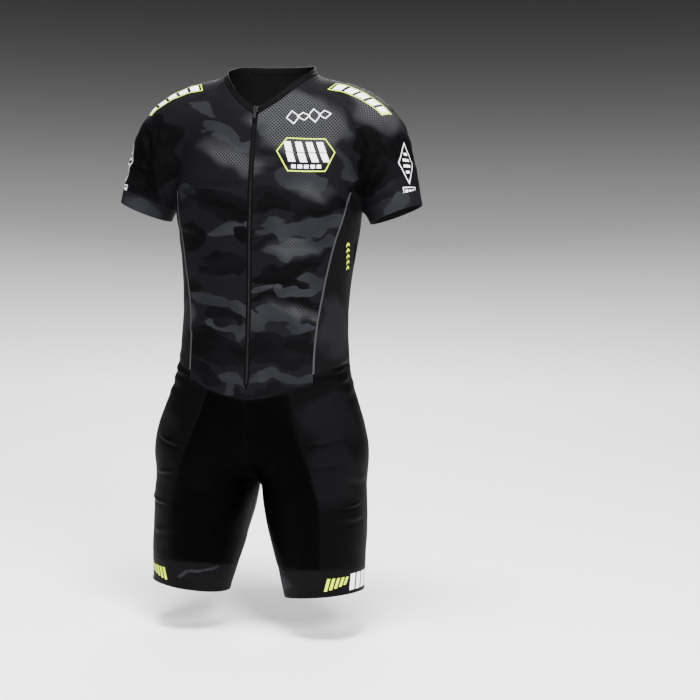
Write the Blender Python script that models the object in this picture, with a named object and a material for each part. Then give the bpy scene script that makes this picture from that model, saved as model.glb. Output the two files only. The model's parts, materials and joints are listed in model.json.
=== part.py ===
"""One-piece short-sleeve cycling skinsuit: raglan top with a front zip, sewn to shorts.

Metres, +Z up.  The chest faces -Y and the wearer's left side is +X.  The origin is the
middle of the neck opening at shoulder height, where a wearer's shoulders carry the suit.

Every cloth piece is a panel cut between seams.  The seams lie on one smooth form, a round
torso joined softly to two arms and two legs, and each seam's points are worked out once,
so the two panels that meet there run side by side with a narrow gap.
"""
import bmesh
import bpy
import numpy as np
from mathutils import Matrix, Vector

# ---- Driving sizes (metres) ---------------------------------------------------------
COLLECTION = "cycling_skinsuit"
CUTTERS = "cutters"

CLOTH = 0.0015            # wall of every sewn panel
TRIM = 0.0012             # wall of binding, tapes and pocket
SEAM_INSET = 0.00022      # each panel stops this far short of its seam line
TRIM_LIFT = 0.0018        # middle of a trim that lies on a panel, above the panel's middle
BINDING_WIDTH = 0.010     # neck binding
BINDING_POINT = 1.3       # its height at the foot of the V, as a share of its width
SEAM_TAPE_WIDTH = 0.0045  # tape along the front princess seams
ZIP_HALF_SLOT = 0.0045    # from the centre front to a front panel's edge
ZIP_TAPE_GAP = 0.0003     # from the centre front to a zip tape
LEG_HEM = -0.850          # height of the leg hem below the leg's middle
HEM_RISE_OUT = 0.12       # the hem rises towards the outer side, per metre
HEM_DROP_BACK = 0.06      # and drops towards the back
HEM_TAPER = 0.92          # width of the hem's ring as a share of the band's top
SLEEVE_HEM_CENTRE = (0.223, -0.002, -0.209)
SLEEVE_HEM_HALF = (0.046, 0.054)
SLEEVE_HEM_TILT = np.radians(22.0)

# Blend widths of the form, where an arm, the other leg and the trunk run together.
ARM_BLEND, CROTCH_BLEND, HIP_BLEND, SEAT_BLEND = 0.024, 0.024, 0.040, 0.050
SEAT_FLOOR = -0.635       # the trunk is rounded off below this height
TRUNK_SQUARENESS = 2.3    # exponent of the trunk's rounded section

# Trunk sections: height, half width, centre y, depth to the front, depth to the back.
TRUNK = np.array([
    (+0.120, 0.060, +0.018, 0.056, 0.058),
    (+0.045, 0.068, +0.014, 0.060, 0.066),
    (+0.020, 0.082, +0.012, 0.067, 0.078),
    (-0.010, 0.105, +0.010, 0.078, 0.090),
    (-0.040, 0.126, +0.009, 0.090, 0.100),
    (-0.080, 0.146, +0.008, 0.101, 0.108),
    (-0.130, 0.157, +0.006, 0.108, 0.112),
    (-0.190, 0.160, +0.003, 0.112, 0.112),
    (-0.260, 0.153, +0.000, 0.109, 0.104),
    (-0.340, 0.144, -0.006, 0.102, 0.092),
    (-0.410, 0.143, -0.012, 0.098, 0.090),
    (-0.470, 0.149, -0.018, 0.096, 0.100),
    (-0.530, 0.162, -0.022, 0.096, 0.118),
    (-0.590, 0.172, -0.024, 0.092, 0.130),
    (-0.650, 0.176, -0.024, 0.084, 0.126),
    (-0.720, 0.176, -0.022, 0.076, 0.110),
])
# Leg sections: height, centre x, centre y, half width, half depth.
LEG = np.array([
    (-0.480, 0.075, -0.020, 0.030, 0.030),
    (-0.560, 0.084, -0.022, 0.076, 0.088),
    (-0.620, 0.089, -0.024, 0.088, 0.099),
    (-0.670, 0.095, -0.026, 0.089, 0.098),
    (-0.710, 0.099, -0.028, 0.087, 0.095),
    (-0.770, 0.107, -0.031, 0.080, 0.088),
    (-0.820, 0.114, -0.034, 0.072, 0.080),
    (-0.870, 0.121, -0.037, 0.065, 0.074),
    (-0.930, 0.123, -0.040, 0.064, 0.070),
])
# Arm stations along its length: x, y, z, half width, half depth.
ARM = np.array([
    (0.040, +0.014, -0.042, 0.045, 0.052),
    (0.105, +0.012, -0.047, 0.063, 0.066),
    (0.170, +0.008, -0.078, 0.062, 0.066),
    (0.200, +0.003, -0.135, 0.053, 0.060),
    (0.223, -0.002, -0.207, 0.045, 0.053),
    (0.246, -0.006, -0.280, 0.042, 0.049),
])
ARM_STATIONS = 17         # points of the arm's axis, read from its stations

# Seams of the wearer's left half, near the form (x, y, z); each is drawn onto it.
ROUTES = {
    "neck_front": [(0.0045, -0.083, -0.047), (0.020, -0.078, -0.037),
                   (0.045, -0.068, -0.016), (0.072, -0.050, 0.014)],
    "neck_side": [(0.072, -0.050, 0.014), (0.080, -0.020, 0.023),
                  (0.078, 0.022, 0.032), (0.062, 0.062, 0.038)],
    "neck_back": [(0.062, 0.062, 0.038), (0.034, 0.080, 0.038), (0.000, 0.085, 0.038)],
    "raglan_front": [(0.072, -0.050, 0.014), (0.100, -0.050, -0.004),
                     (0.128, -0.048, -0.022), (0.152, -0.054, -0.050),
                     (0.166, -0.058, -0.080), (0.172, -0.057, -0.105),
                     (0.170, -0.050, -0.135), (0.157, -0.040, -0.168)],
    "raglan_back": [(0.062, 0.062, 0.038), (0.098, 0.068, 0.014), (0.130, 0.066, -0.012),
                    (0.160, 0.062, -0.042), (0.176, 0.058, -0.075),
                    (0.182, 0.054, -0.110), (0.178, 0.046, -0.150), (0.165, 0.034, -0.183)],
    "armhole_front": [(0.157, -0.040, -0.168), (0.162, -0.022, -0.188),
                      (0.165, 0.000, -0.198)],
    "armhole_back": [(0.165, 0.000, -0.198), (0.166, 0.018, -0.194), (0.165, 0.034, -0.183)],
    "princess": [(0.157, -0.040, -0.168), (0.148, -0.048, -0.200), (0.134, -0.062, -0.255),
                 (0.119, -0.072, -0.330), (0.110, -0.080, -0.395), (0.108, -0.087, -0.440),
                 (0.108, -0.092, -0.477)],
    "princess_end": [(0.108, -0.092, -0.477), (0.108, -0.093, -0.491)],
    "side_back": [(0.165, 0.034, -0.183), (0.152, 0.030, -0.245), (0.138, 0.038, -0.300),
                  (0.122, 0.045, -0.370), (0.110, 0.054, -0.430), (0.098, 0.064, -0.475),
                  (0.090, 0.070, -0.500)],
    "waist_front": [(0.000, -0.118, -0.521), (0.035, -0.116, -0.515), (0.070, -0.110, -0.506)],
    "waist_hip": [(0.070, -0.110, -0.506), (0.087, -0.104, -0.498), (0.108, -0.093, -0.491)],
    "waist_side": [(0.108, -0.092, -0.477), (0.129, -0.074, -0.472), (0.147, -0.034, -0.462),
                   (0.151, 0.000, -0.462), (0.142, 0.035, -0.472), (0.118, 0.058, -0.487),
                   (0.090, 0.070, -0.500)],
    "waist_back": [(0.090, 0.070, -0.500), (0.068, 0.084, -0.518), (0.038, 0.093, -0.540),
                   (0.000, 0.097, -0.552)],
    "rise_front": [(0.000, -0.118, -0.521), (0.000, -0.116, -0.590), (0.000, -0.085, -0.640),
                   (0.000, -0.028, -0.671)],
    "rise_back": [(0.000, 0.097, -0.552), (0.000, 0.104, -0.600), (0.000, 0.060, -0.650),
                  (0.000, -0.028, -0.671)],
    "inseam": [(0.000, -0.028, -0.671), (0.011, -0.030, -0.700), (0.020, -0.031, -0.738),
               (0.037, -0.034, -0.815)],
    "thigh_front": [(0.070, -0.110, -0.506), (0.079, -0.117, -0.544), (0.099, -0.124, -0.598),
                    (0.115, -0.122, -0.644), (0.127, -0.117, -0.693), (0.130, -0.114, -0.750),
                    (0.130, -0.113, -0.797)],
    "thigh_back": [(0.090, 0.070, -0.500), (0.098, 0.078, -0.526), (0.115, 0.082, -0.572),
                   (0.124, 0.075, -0.605)],
    "inset_outer": [(0.124, 0.075, -0.605), (0.144, 0.055, -0.650), (0.157, 0.042, -0.700),
                    (0.166, 0.028, -0.755), (0.170, 0.018, -0.800)],
    "inset_inner": [(0.124, 0.075, -0.605), (0.118, 0.072, -0.640), (0.108, 0.068, -0.684),
                    (0.099, 0.064, -0.725), (0.094, 0.055, -0.765), (0.094, 0.048, -0.800)],
    "band_front": [(0.037, -0.034, -0.815), (0.047, -0.075, -0.808), (0.082, -0.108, -0.800),
                   (0.130, -0.113, -0.797)],
    "band_side": [(0.130, -0.113, -0.797), (0.165, -0.090, -0.797), (0.186, -0.040, -0.797),
                  (0.170, 0.018, -0.800)],
    "band_inset": [(0.170, 0.018, -0.800), (0.135, 0.046, -0.800), (0.094, 0.048, -0.800)],
    "band_seat": [(0.094, 0.048, -0.800), (0.054, 0.018, -0.807), (0.037, -0.034, -0.815)],
}
# Cells along each seam.  Facing edges of one panel add up to the same number.
CELLS = {
    "neck_front": 7, "neck_side": 6, "neck_back": 5, "raglan_front": 9, "raglan_back": 8,
    "armhole_front": 3, "armhole_back": 4, "princess": 12, "princess_end": 1,
    "side_back": 12, "waist_front": 5, "waist_hip": 2, "waist_side": 7, "waist_back": 5,
    "rise_front": 7, "rise_back": 7, "inseam": 5, "thigh_front": 12, "thigh_back": 4,
    "inset_outer": 8, "inset_inner": 8, "band_front": 5, "band_side": 10, "band_inset": 3,
    "band_seat": 5,
}
SLEEVE_ROWS = 8
BAND_ROWS = 2
SLEEVE_LEAVE, BAND_LEAVE = 1.0, 0.0     # how far a column keeps square to its top ring

# Centre front edge of a front panel: heights of the zip's ends and of the seam under it.
ZIP_TOP, ZIP_FOOT, ZIP_CLOSE, CENTRE_FOOT = -0.047, -0.494, -0.503, -0.521
FRONT_START, BACK_START = -0.12, 0.10   # y from which a centre line is moved onto the form

# Ends of pieces, as shares of the last cell that they stop short by.
POINT_BLUNT = 0.08        # the hamstring inset's point
TAPE_TOP, TAPE_END = 0.30, 0.05
POCKET_SIDE = 0.12
ZIP_TAPE_TOP, ZIP_TAPE_END = 0.02, 0.50

# Back pocket: heights of its opening and of its foot.
POCKET_TOP_Z, POCKET_FOOT_Z = -0.335, -0.455

# Zip slider and pull tab.
SLIDER_Z = -0.0410
SLIDER = (0.0080, 0.0100, 0.0026)       # width, length, thickness
SLIDER_SEAT = 0.0011                    # from the zip tapes' middle to the slider's back
BRIDGE = (0.0016, 0.0070, 0.0030)       # the arch that holds the pull tab
BRIDGE_BAR = 0.0010
PULL = (0.0050, 0.0170, 0.0011)         # width, length, thickness
PULL_EYE = (0.0027, 0.0046)             # hole that the bridge passes through
PULL_BAR = 0.0011                       # the tab's cross bar under the bridge
BRIDGE_SINK = 0.0004                    # the arch's feet run this far into the slider
SHARP_ANGLE = np.radians(50)

# ---- Colours (linear), roughness, metallic ------------------------------------------
FINISHES = {
    "camouflage_knit": ((0.020, 0.020, 0.024), 0.72, 0.0),
    "black_knit": ((0.006, 0.006, 0.007), 0.75, 0.0),
    "black_mesh": ((0.010, 0.010, 0.012), 0.78, 0.0),
    "thigh_mesh": ((0.014, 0.014, 0.017), 0.78, 0.0),
    "leg_band": ((0.012, 0.012, 0.015), 0.65, 0.0),
    "grey_tape": ((0.080, 0.080, 0.090), 0.60, 0.0),
    "zip_tape": ((0.005, 0.005, 0.006), 0.60, 0.0),
    "zip_metal": ((0.030, 0.030, 0.032), 0.35, 1.0),
}


# ---- The form -----------------------------------------------------------------------
def read_rows(rows, at):
    """Smooth cubic values through a table's rows, by its first column."""
    keys, values = rows[:, 0], rows[:, 1:]
    slopes = np.gradient(values, keys, axis=0)
    at = np.clip(at, keys[0], keys[-1])
    low = np.clip(np.searchsorted(keys, at, side="right") - 1, 0, len(keys) - 2)
    span = (keys[low + 1] - keys[low])[..., None]
    t = (at - keys[low])[..., None] / span
    start = (2 * t**3 - 3 * t**2 + 1) * values[low] + (t**3 - 2 * t**2 + t) * span * slopes[low]
    end = (3 * t**2 - 2 * t**3) * values[low + 1] + (t**3 - t**2) * span * slopes[low + 1]
    return start + end


def soft_join(a, b, width):
    """The lower of two distances, rounded over a width where they run together."""
    share = np.clip(0.5 + 0.5 * (b - a) / width, 0, 1)
    return b * (1 - share) + a * share - width * share * (1 - share)


def trunk_distance(points):
    section = read_rows(TRUNK[::-1], points[..., 2])
    half, centre = section[..., 0], section[..., 1]
    depth = np.where(points[..., 1] < centre, section[..., 2], section[..., 3])
    across = (np.abs(points[..., 0]) / half) ** TRUNK_SQUARENESS
    through = (np.abs(points[..., 1] - centre) / depth) ** TRUNK_SQUARENESS
    ratio = (across + through + 1e-12) ** (1 / TRUNK_SQUARENESS)
    around = (ratio - 1) * np.minimum(half, depth)
    return -soft_join(-around, points[..., 2] - SEAT_FLOOR, SEAT_BLEND)


def leg_distance(points, side):
    section = read_rows(LEG[::-1], points[..., 2])
    above = np.maximum(points[..., 2] - LEG[0, 0], 0)
    across = (points[..., 0] * side - section[..., 0]) / section[..., 2]
    through = (points[..., 1] - section[..., 1]) / section[..., 3]
    ratio = np.sqrt(across**2 + through**2 + 1e-12)
    return (ratio - 1) * np.minimum(section[..., 2], section[..., 3]) + above


def arm_axis():
    rows = np.column_stack([np.arange(len(ARM)), ARM])
    return read_rows(rows, np.linspace(0, len(ARM) - 1, ARM_STATIONS))


ARM_AXIS = arm_axis()


def arm_distance(points):
    mirrored = points.copy()
    mirrored[..., 0] = np.abs(points[..., 0])
    nearest = np.full(points.shape[:-1], np.inf)
    for start, end in zip(ARM_AXIS[:-1], ARM_AXIS[1:]):
        run = end[:3] - start[:3]
        t = np.clip((mirrored - start[:3]) @ run / (run @ run), 0, 1)
        width = start[3] + t * (end[3] - start[3])
        depth = start[4] + t * (end[4] - start[4])
        away = mirrored - (start[:3] + t[..., None] * run)
        away[..., 1] *= width / depth
        nearest = np.minimum(nearest, np.linalg.norm(away, axis=-1) - width)
    return nearest


def form_distance(points):
    """Below zero inside the worn shape, zero on the middle of its cloth."""
    legs = soft_join(leg_distance(points, 1), leg_distance(points, -1), CROTCH_BLEND)
    body = soft_join(trunk_distance(points), legs, HIP_BLEND)
    return soft_join(body, arm_distance(points), ARM_BLEND)


def form_slope(points, step=2e-4):
    slope = np.empty_like(points)
    for axis in range(3):
        shift = np.zeros(3)
        shift[axis] = step
        slope[..., axis] = (form_distance(points + shift) - form_distance(points - shift)) / (2 * step)
    return slope


def form_normal(points):
    slope = form_slope(points)
    return slope / np.linalg.norm(slope, axis=-1, keepdims=True)


def settle(points, steps=8):
    """Moves points onto the form along its slope."""
    points = np.array(points, dtype=float)
    for _ in range(steps):
        slope = form_slope(points)
        size = np.maximum((slope * slope).sum(-1), 1e-6)
        points -= (form_distance(points) / size)[..., None] * slope
    return points


def push_out(points, directions, start=-0.03, reach=0.14, steps=60):
    """From just inside, the first point of the form along each direction."""
    ways = np.linspace(start, start + reach, steps)
    walk = points[..., None, :] + ways[:, None] * directions[..., None, :]
    inside = form_distance(walk) < 0
    first = np.argmax(~inside, axis=-1)
    ok = inside[..., 0] & (first > 0)
    high = ways[first]
    low = ways[np.maximum(first - 1, 0)]
    for _ in range(14):
        middle = 0.5 * (low + high)
        under = form_distance(points + middle[..., None] * directions) < 0
        low = np.where(under, middle, low)
        high = np.where(under, high, middle)
    return settle(np.where(ok[..., None], points + high[..., None] * directions, points), 4)


# ---- Seams --------------------------------------------------------------------------
def draw_seam(route, cells):
    """A smooth line through a route's points, in equal steps, on the form."""
    route = np.array(route)
    steps = np.linalg.norm(np.diff(route, axis=0), axis=1)
    along = np.concatenate([[0], np.cumsum(steps)])
    fine = read_rows(np.column_stack([along, route]), np.linspace(0, along[-1], 20 * cells + 1))
    fine = settle(fine)
    run = np.concatenate([[0], np.cumsum(np.linalg.norm(np.diff(fine, axis=0), axis=1))])
    equal = np.linspace(0, run[-1], cells + 1)
    seam = np.column_stack([np.interp(equal, run, fine[:, axis]) for axis in range(3)])
    return settle(seam)


def chain(*seams):
    """Seams end to end as one edge; a seam named with a minus sign runs backwards."""
    edges = []
    for name in seams:
        points = SEAM[name.lstrip("-")]
        points = points[::-1] if name.startswith("-") else points
        edges.append(points if not edges else points[1:])
    return np.concatenate(edges)


def share_corners(seams):
    """Gives seams that meet one common end point."""
    corners = []
    for points in seams.values():
        for end in (0, -1):
            for corner in corners:
                if np.linalg.norm(points[end] - corner) < 0.003:
                    points[end] = corner
                    break
            else:
                corners.append(points[end].copy())
    return seams


def centre_front():
    """A front panel's edge along the zip and down the short seam under it."""
    rows = CELLS["raglan_front"] + CELLS["princess"] + CELLS["princess_end"]
    heights = np.append(np.linspace(ZIP_TOP, ZIP_FOOT, rows - 1), [ZIP_CLOSE, CENTRE_FOOT])
    offsets = np.append(np.full(rows - 1, ZIP_HALF_SLOT), [0.0, 0.0])
    edge = np.column_stack([offsets, np.full(rows + 1, FRONT_START), heights])
    edge = on_height(edge)
    edge[0] = SEAM["neck_front"][0]
    edge[-1] = SEAM["waist_front"][0]
    return edge


def on_height(points):
    """Moves points along y only, onto the front or back that they are nearer to."""
    points = np.array(points, dtype=float)
    for _ in range(12):
        slope = form_slope(points)[..., 1]
        slope = np.where(np.abs(slope) < 0.2, np.sign(slope) * 0.2, slope)
        points[..., 1] -= form_distance(points) / slope
    return points


def centre_back():
    """The middle of the back, from the neck down to the point of the waist seam."""
    rows = CELLS["raglan_back"] + CELLS["side_back"]
    heights = np.linspace(SEAM["neck_back"][-1][2], SEAM["waist_back"][-1][2], rows + 1)
    edge = on_height(np.column_stack([np.zeros(rows + 1), np.full(rows + 1, BACK_START), heights]))
    edge[0] = SEAM["neck_back"][-1]
    edge[-1] = SEAM["waist_back"][-1]
    return edge


def sleeve_hem(count):
    """Ring of the sleeve's end in so many cells, from the underarm round the front."""
    angle = np.pi + np.linspace(0, 2 * np.pi, count + 1)
    across = np.array([np.cos(SLEEVE_HEM_TILT), 0, np.sin(SLEEVE_HEM_TILT)])
    through = np.array([0, 1, 0])
    ring = (np.array(SLEEVE_HEM_CENTRE)
            + SLEEVE_HEM_HALF[0] * np.cos(angle)[:, None] * across
            + SLEEVE_HEM_HALF[1] * np.sin(angle)[:, None] * through)
    return settle(ring)


def leg_hem(top_ring):
    """The leg's hem below the top of its band."""
    middle = LEG[-2, 1:3]
    ring = top_ring.copy()
    from_middle = ring[:, :2] - middle
    ring[:, 2] = LEG_HEM + HEM_RISE_OUT * from_middle[:, 0] - HEM_DROP_BACK * from_middle[:, 1]
    ring[:, :2] = middle + from_middle * HEM_TAPER
    for _ in range(12):
        slope = form_slope(ring)[:, :2]
        size = np.maximum((slope * slope).sum(-1), 1e-6)
        ring[:, :2] -= (form_distance(ring) / size)[:, None] * slope
    return ring


# ---- Panels as grids ----------------------------------------------------------------
def between(top, bottom, left, right):
    """Values between four edges: two ruled sheets less their common corners."""
    u = np.linspace(0, 1, len(top))[None, :, None]
    v = np.linspace(0, 1, len(left))[:, None, None]
    down = (1 - v) * top[None] + v * bottom[None]
    across = (1 - u) * left[:, None] + u * right[:, None]
    corners = ((1 - v) * ((1 - u) * top[0] + u * top[-1])
               + v * ((1 - u) * bottom[0] + u * bottom[-1]))
    return down + across - corners


def panel(top, bottom, left, right):
    """Grid of a panel between four seams, its inner points pushed out to the form."""
    grid = between(top, bottom, left, right)
    normals = between(*(form_normal(edge) for edge in (top, bottom, left, right)))
    normals /= np.linalg.norm(normals, axis=-1, keepdims=True)
    grid[1:-1, 1:-1] = push_out(grid[1:-1, 1:-1], normals[1:-1, 1:-1])
    return grid


def tube(top, bottom, rows, leave):
    """Grid of a sleeve or band between two closed rings; the last column is the first.

    With leave at 1 each column sets off square to the top ring and then turns to the
    bottom one; with leave at 0 it runs straight.
    """
    v = np.linspace(0, 1, rows + 1)[:, None, None]
    run = bottom - top
    along = np.roll(top[:-1], -1, axis=0) - np.roll(top[:-1], 1, axis=0)
    square = np.cross(along, form_normal(top[:-1]))
    square *= np.sign((square * run[:-1]).sum())
    square = np.concatenate([square, square[:1]])
    square *= (np.linalg.norm(run, axis=-1) / np.linalg.norm(square, axis=-1))[:, None]
    grid = top + v * run + leave * v * (1 - v)**4 * (square - run)
    normals = (1 - v) * form_normal(top)[None] + v * form_normal(bottom)[None]
    normals /= np.linalg.norm(normals, axis=-1, keepdims=True)
    grid[1:-1, :-1] = push_out(grid[1:-1, :-1], normals[1:-1, :-1])
    grid[:, -1] = grid[:, 0]
    return grid


def draw_in(edge, inner, distance):
    """An edge moved square to itself towards its neighbouring row."""
    along = np.gradient(edge, axis=0)
    along /= np.maximum(np.linalg.norm(along, axis=-1, keepdims=True), 1e-9)
    inward = inner - edge
    inward -= (inward * along).sum(-1, keepdims=True) * along
    inward /= np.maximum(np.linalg.norm(inward, axis=-1, keepdims=True), 1e-9)
    return inward * distance


def inset(grid, wrapped, pointed):
    """Takes the panel's open edges back from their seams."""
    moved = grid.copy()
    if pointed:
        moved[0] = grid[0, 0] + (grid[1].mean(axis=0) - grid[0, 0]) * POINT_BLUNT
    else:
        moved[0] += draw_in(grid[0], grid[1], SEAM_INSET)
    moved[-1] += draw_in(grid[-1], grid[-2], SEAM_INSET)
    if wrapped:
        moved[:, -1] = moved[:, 0]
        return moved
    rows = slice(1, None) if pointed else slice(None)
    moved[rows, 0] += draw_in(grid[rows, 0], grid[rows, 1], SEAM_INSET)
    moved[rows, -1] += draw_in(grid[rows, -1], grid[rows, -2], SEAM_INSET)
    return moved


def wall_mesh(name, grid, wall=CLOTH, lift=0.0, wrapped=False):
    """Closed wall of cloth on a grid: outer face, inner face and rims.

    Both faces split each cell along the same diagonal, the shorter one.  A rim's cell is
    split from the higher end of its outer edge, as is that of the panel it meets.
    """
    if wrapped:
        grid = grid[:, :-1]
    rows, columns = grid.shape[:2]
    normals = form_normal(grid)
    outer = grid + normals * (lift + wall / 2)
    inner = grid + normals * (lift - wall / 2)
    half = rows * columns
    spans = columns if wrapped else columns - 1
    faces = []
    for i in range(rows - 1):
        for j in range(spans):
            k = (j + 1) % columns
            a, b, c, d = i * columns + j, i * columns + k, (i + 1) * columns + k, (i + 1) * columns + j
            ac = np.linalg.norm(grid[i, j] - grid[i + 1, k])
            bd = np.linalg.norm(grid[i, k] - grid[i + 1, j])
            cell = [(a, b, c), (a, c, d)] if ac <= bd else [(a, b, d), (b, c, d)]
            faces += cell
            faces += [tuple(half + corner for corner in reversed(face)) for face in cell]
    rim = []
    for j in range(spans):
        k = (j + 1) % columns
        rim.append((k, j))
        rim.append(((rows - 1) * columns + j, (rows - 1) * columns + k))
    if not wrapped:
        for i in range(rows - 1):
            rim.append((i * columns, (i + 1) * columns))
            rim.append(((i + 1) * columns + columns - 1, i * columns + columns - 1))
    height = outer.reshape(-1, 3)[:, 2]
    for a, b in rim:
        if height[a] >= height[b]:
            faces += [(a, b, half + b), (a, half + b, half + a)]
        else:
            faces += [(a, b, half + a), (b, half + b, half + a)]
    mesh = bpy.data.meshes.new(name)
    mesh.from_pydata(np.concatenate([outer, inner]).reshape(-1, 3).tolist(), [], faces)
    return tidy(mesh)


def tidy(mesh):
    """Merges equal points, turns every face outwards and shades the mesh smooth."""
    work = bmesh.new()
    work.from_mesh(mesh)
    bmesh.ops.remove_doubles(work, verts=work.verts, dist=1e-6)
    bmesh.ops.recalc_face_normals(work, faces=work.faces)
    work.to_mesh(mesh)
    work.free()
    mesh.shade_smooth()
    mesh.set_sharp_from_angle(angle=SHARP_ANGLE)
    return mesh


# ---- Objects ------------------------------------------------------------------------
def finish(name):
    material = bpy.data.materials.get(name)
    if material:
        return material
    colour, roughness, metallic = FINISHES[name]
    material = bpy.data.materials.new(name)
    material.use_nodes = True
    shader = material.node_tree.nodes["Principled BSDF"]
    shader.inputs["Base Color"].default_value = (*colour, 1)
    shader.inputs["Roughness"].default_value = roughness
    shader.inputs["Metallic"].default_value = metallic
    return material


def place(name, mesh, look, parent=None):
    thing = bpy.data.objects.new(name, mesh)
    bpy.data.collections[COLLECTION].objects.link(thing)
    own = finish(look).copy()
    own.name = f"{name}_finish"
    mesh.materials.append(own)
    thing.parent = parent
    return thing


def both_sides(name, grid, look, wrapped=False, pointed=False, **options):
    """Builds the wearer's left panel and its mirror on the right."""
    drawn = inset(grid, wrapped, pointed)
    for side, sign in (("left", 1), ("right", -1)):
        turned = drawn * np.array([sign, 1, 1])
        place(f"{name}_{side}", wall_mesh(f"{name}_{side}", turned, wrapped=wrapped, **options), look)


def mirror_join(grid):
    """A half panel and its mirror as one grid, meeting in its first column."""
    other = grid[:, :0:-1] * np.array([-1, 1, 1])
    return np.concatenate([other, grid], axis=1)


def build_top():
    """Front, side and back panels and the two raglan sleeves."""
    front = panel(chain("neck_front"), chain("waist_front", "waist_hip"),
                  centre_front(), chain("raglan_front", "princess", "princess_end"))
    both_sides("front_panel", front, "camouflage_knit")
    side = panel(chain("armhole_front", "armhole_back"), chain("waist_side"),
                 chain("princess"), chain("side_back"))
    both_sides("side_panel", side, "black_mesh")
    half_back = panel(chain("-neck_back"), chain("-waist_back"), centre_back(),
                      chain("raglan_back", "side_back"))
    back = mirror_join(half_back)
    place("back_panel", wall_mesh("back_panel", inset(back, False, False)), "camouflage_knit")
    ring = chain("-armhole_front", "-raglan_front", "neck_side", "raglan_back", "-armhole_back")
    sleeve = tube(ring, sleeve_hem(len(ring) - 1), SLEEVE_ROWS, SLEEVE_LEAVE)
    both_sides("sleeve", sleeve, "camouflage_knit", wrapped=True)
    return front, side, back


def build_shorts():
    """Front, thigh, seat and hamstring panels and the two leg bands."""
    front = panel(chain("waist_front"), chain("band_front"),
                  chain("rise_front", "inseam"), chain("thigh_front"))
    both_sides("front_short", front, "black_knit")
    thigh = panel(chain("waist_hip", "-princess_end", "waist_side"), chain("band_side"),
                  chain("thigh_front"), chain("thigh_back", "inset_outer"))
    both_sides("thigh_panel", thigh, "thigh_mesh")
    seat = panel(chain("waist_back"), chain("band_seat"),
                 chain("thigh_back", "inset_inner"), chain("rise_back", "inseam"))
    both_sides("seat_panel", seat, "black_knit")
    point = np.repeat(SEAM["inset_outer"][:1], CELLS["band_inset"] + 1, axis=0)
    hamstring = panel(point, chain("band_inset"), chain("inset_outer"), chain("inset_inner"))
    both_sides("hamstring_inset", hamstring, "camouflage_knit", pointed=True)
    ring = chain("band_front", "band_side", "band_inset", "band_seat")
    both_sides("leg_band", tube(ring, leg_hem(ring), BAND_ROWS, BAND_LEAVE), "leg_band", wrapped=True)


def binding_half():
    """Left half of the neck binding: its free edge and, below it, the neckline."""
    neckline = chain("neck_front", "neck_side", "neck_back")
    along = np.gradient(neckline, axis=0)
    along /= np.linalg.norm(along, axis=-1, keepdims=True)
    inward = np.cross(form_normal(neckline), along)
    edge = settle(neckline + inward * BINDING_WIDTH)
    edge[0] = neckline[0] + np.array([0, 0, BINDING_WIDTH * BINDING_POINT])
    edge[:, 0] = np.maximum(edge[:, 0], ZIP_HALF_SLOT)
    edge[-1, 0] = 0.0
    edge[0] = on_height(edge[:1])[0]
    return np.stack([edge, neckline], axis=0)


def build_binding(half):
    """Band round the neck opening, cut at the zip."""
    whole = mirror_join(half[:, ::-1])
    place("neck_binding", wall_mesh("neck_binding", inset(whole, False, False)), "black_knit")


def build_seam_tapes(front, side):
    """Grey tapes over the princess seams, made from the two panels' own points."""
    rows = np.arange(CELLS["raglan_front"], CELLS["raglan_front"] + CELLS["princess"] + 1)
    seam = front[rows, -1]
    on_front = front[rows, -2] - seam
    on_side = side[:, 1] - seam
    half = SEAM_TAPE_WIDTH / 2
    on_front *= half / np.linalg.norm(on_front, axis=-1, keepdims=True)
    on_side *= half / np.linalg.norm(on_side, axis=-1, keepdims=True)
    grid = np.stack([seam + on_front, seam, seam + on_side], axis=1)
    grid[0] += TAPE_TOP * (grid[1] - grid[0])
    grid[-1] += TAPE_END * (grid[-2] - grid[-1])
    for label, sign in (("left", 1), ("right", -1)):
        name = f"seam_tape_{label}"
        mesh = wall_mesh(name, grid * np.array([sign, 1, 1]), wall=TRIM, lift=TRIM_LIFT)
        place(name, mesh, "grey_tape")


def build_pocket(back):
    """Patch across the lower back, open along its top, made from the back's points."""
    heights = back[:, back.shape[1] // 2, 2]
    rows = np.flatnonzero((heights <= POCKET_TOP_Z) & (heights >= POCKET_FOOT_Z))
    patch = back[rows[0]:rows[-1] + 1].copy()
    for edge, inner in ((0, 1), (-1, -2)):
        patch[:, edge] += POCKET_SIDE * (patch[:, inner] - patch[:, edge])
    place("back_pocket", wall_mesh("back_pocket", patch, wall=TRIM, lift=TRIM_LIFT),
          "camouflage_knit")


def build_zip_tapes(front, binding):
    """The two tapes in the slot between the front panels, up to the binding's edge."""
    outer = np.concatenate([binding[0, :1], front[:-1, 0]])
    outer[-1] += ZIP_TAPE_END * (outer[-2] - outer[-1])
    outer[:, 0] -= ZIP_TAPE_GAP
    inner = outer.copy()
    inner[:, 0] = ZIP_TAPE_GAP
    grid = np.stack([inner, outer], axis=1)
    grid[0] += ZIP_TAPE_TOP * (grid[1] - grid[0])
    for label, sign in (("left", 1), ("right", -1)):
        name = f"zip_tape_{label}"
        mesh = wall_mesh(name, grid * np.array([sign, 1, 1]), wall=TRIM)
        place(name, mesh, "zip_tape")


def slider_frame():
    """Seat of the slider: x across, y out from the chest, z up along the zip."""
    seat = on_height(np.array([[0.0, -0.1, SLIDER_Z]]))[0]
    out = Vector(form_normal(seat[None])[0])
    across = Vector((1, 0, 0))
    up = across.cross(-out).normalized()
    if up.z < 0:
        up = -up
    turn = Matrix((across, out, up)).transposed().to_4x4()
    return Matrix.Translation(Vector(seat)) @ turn


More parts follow.
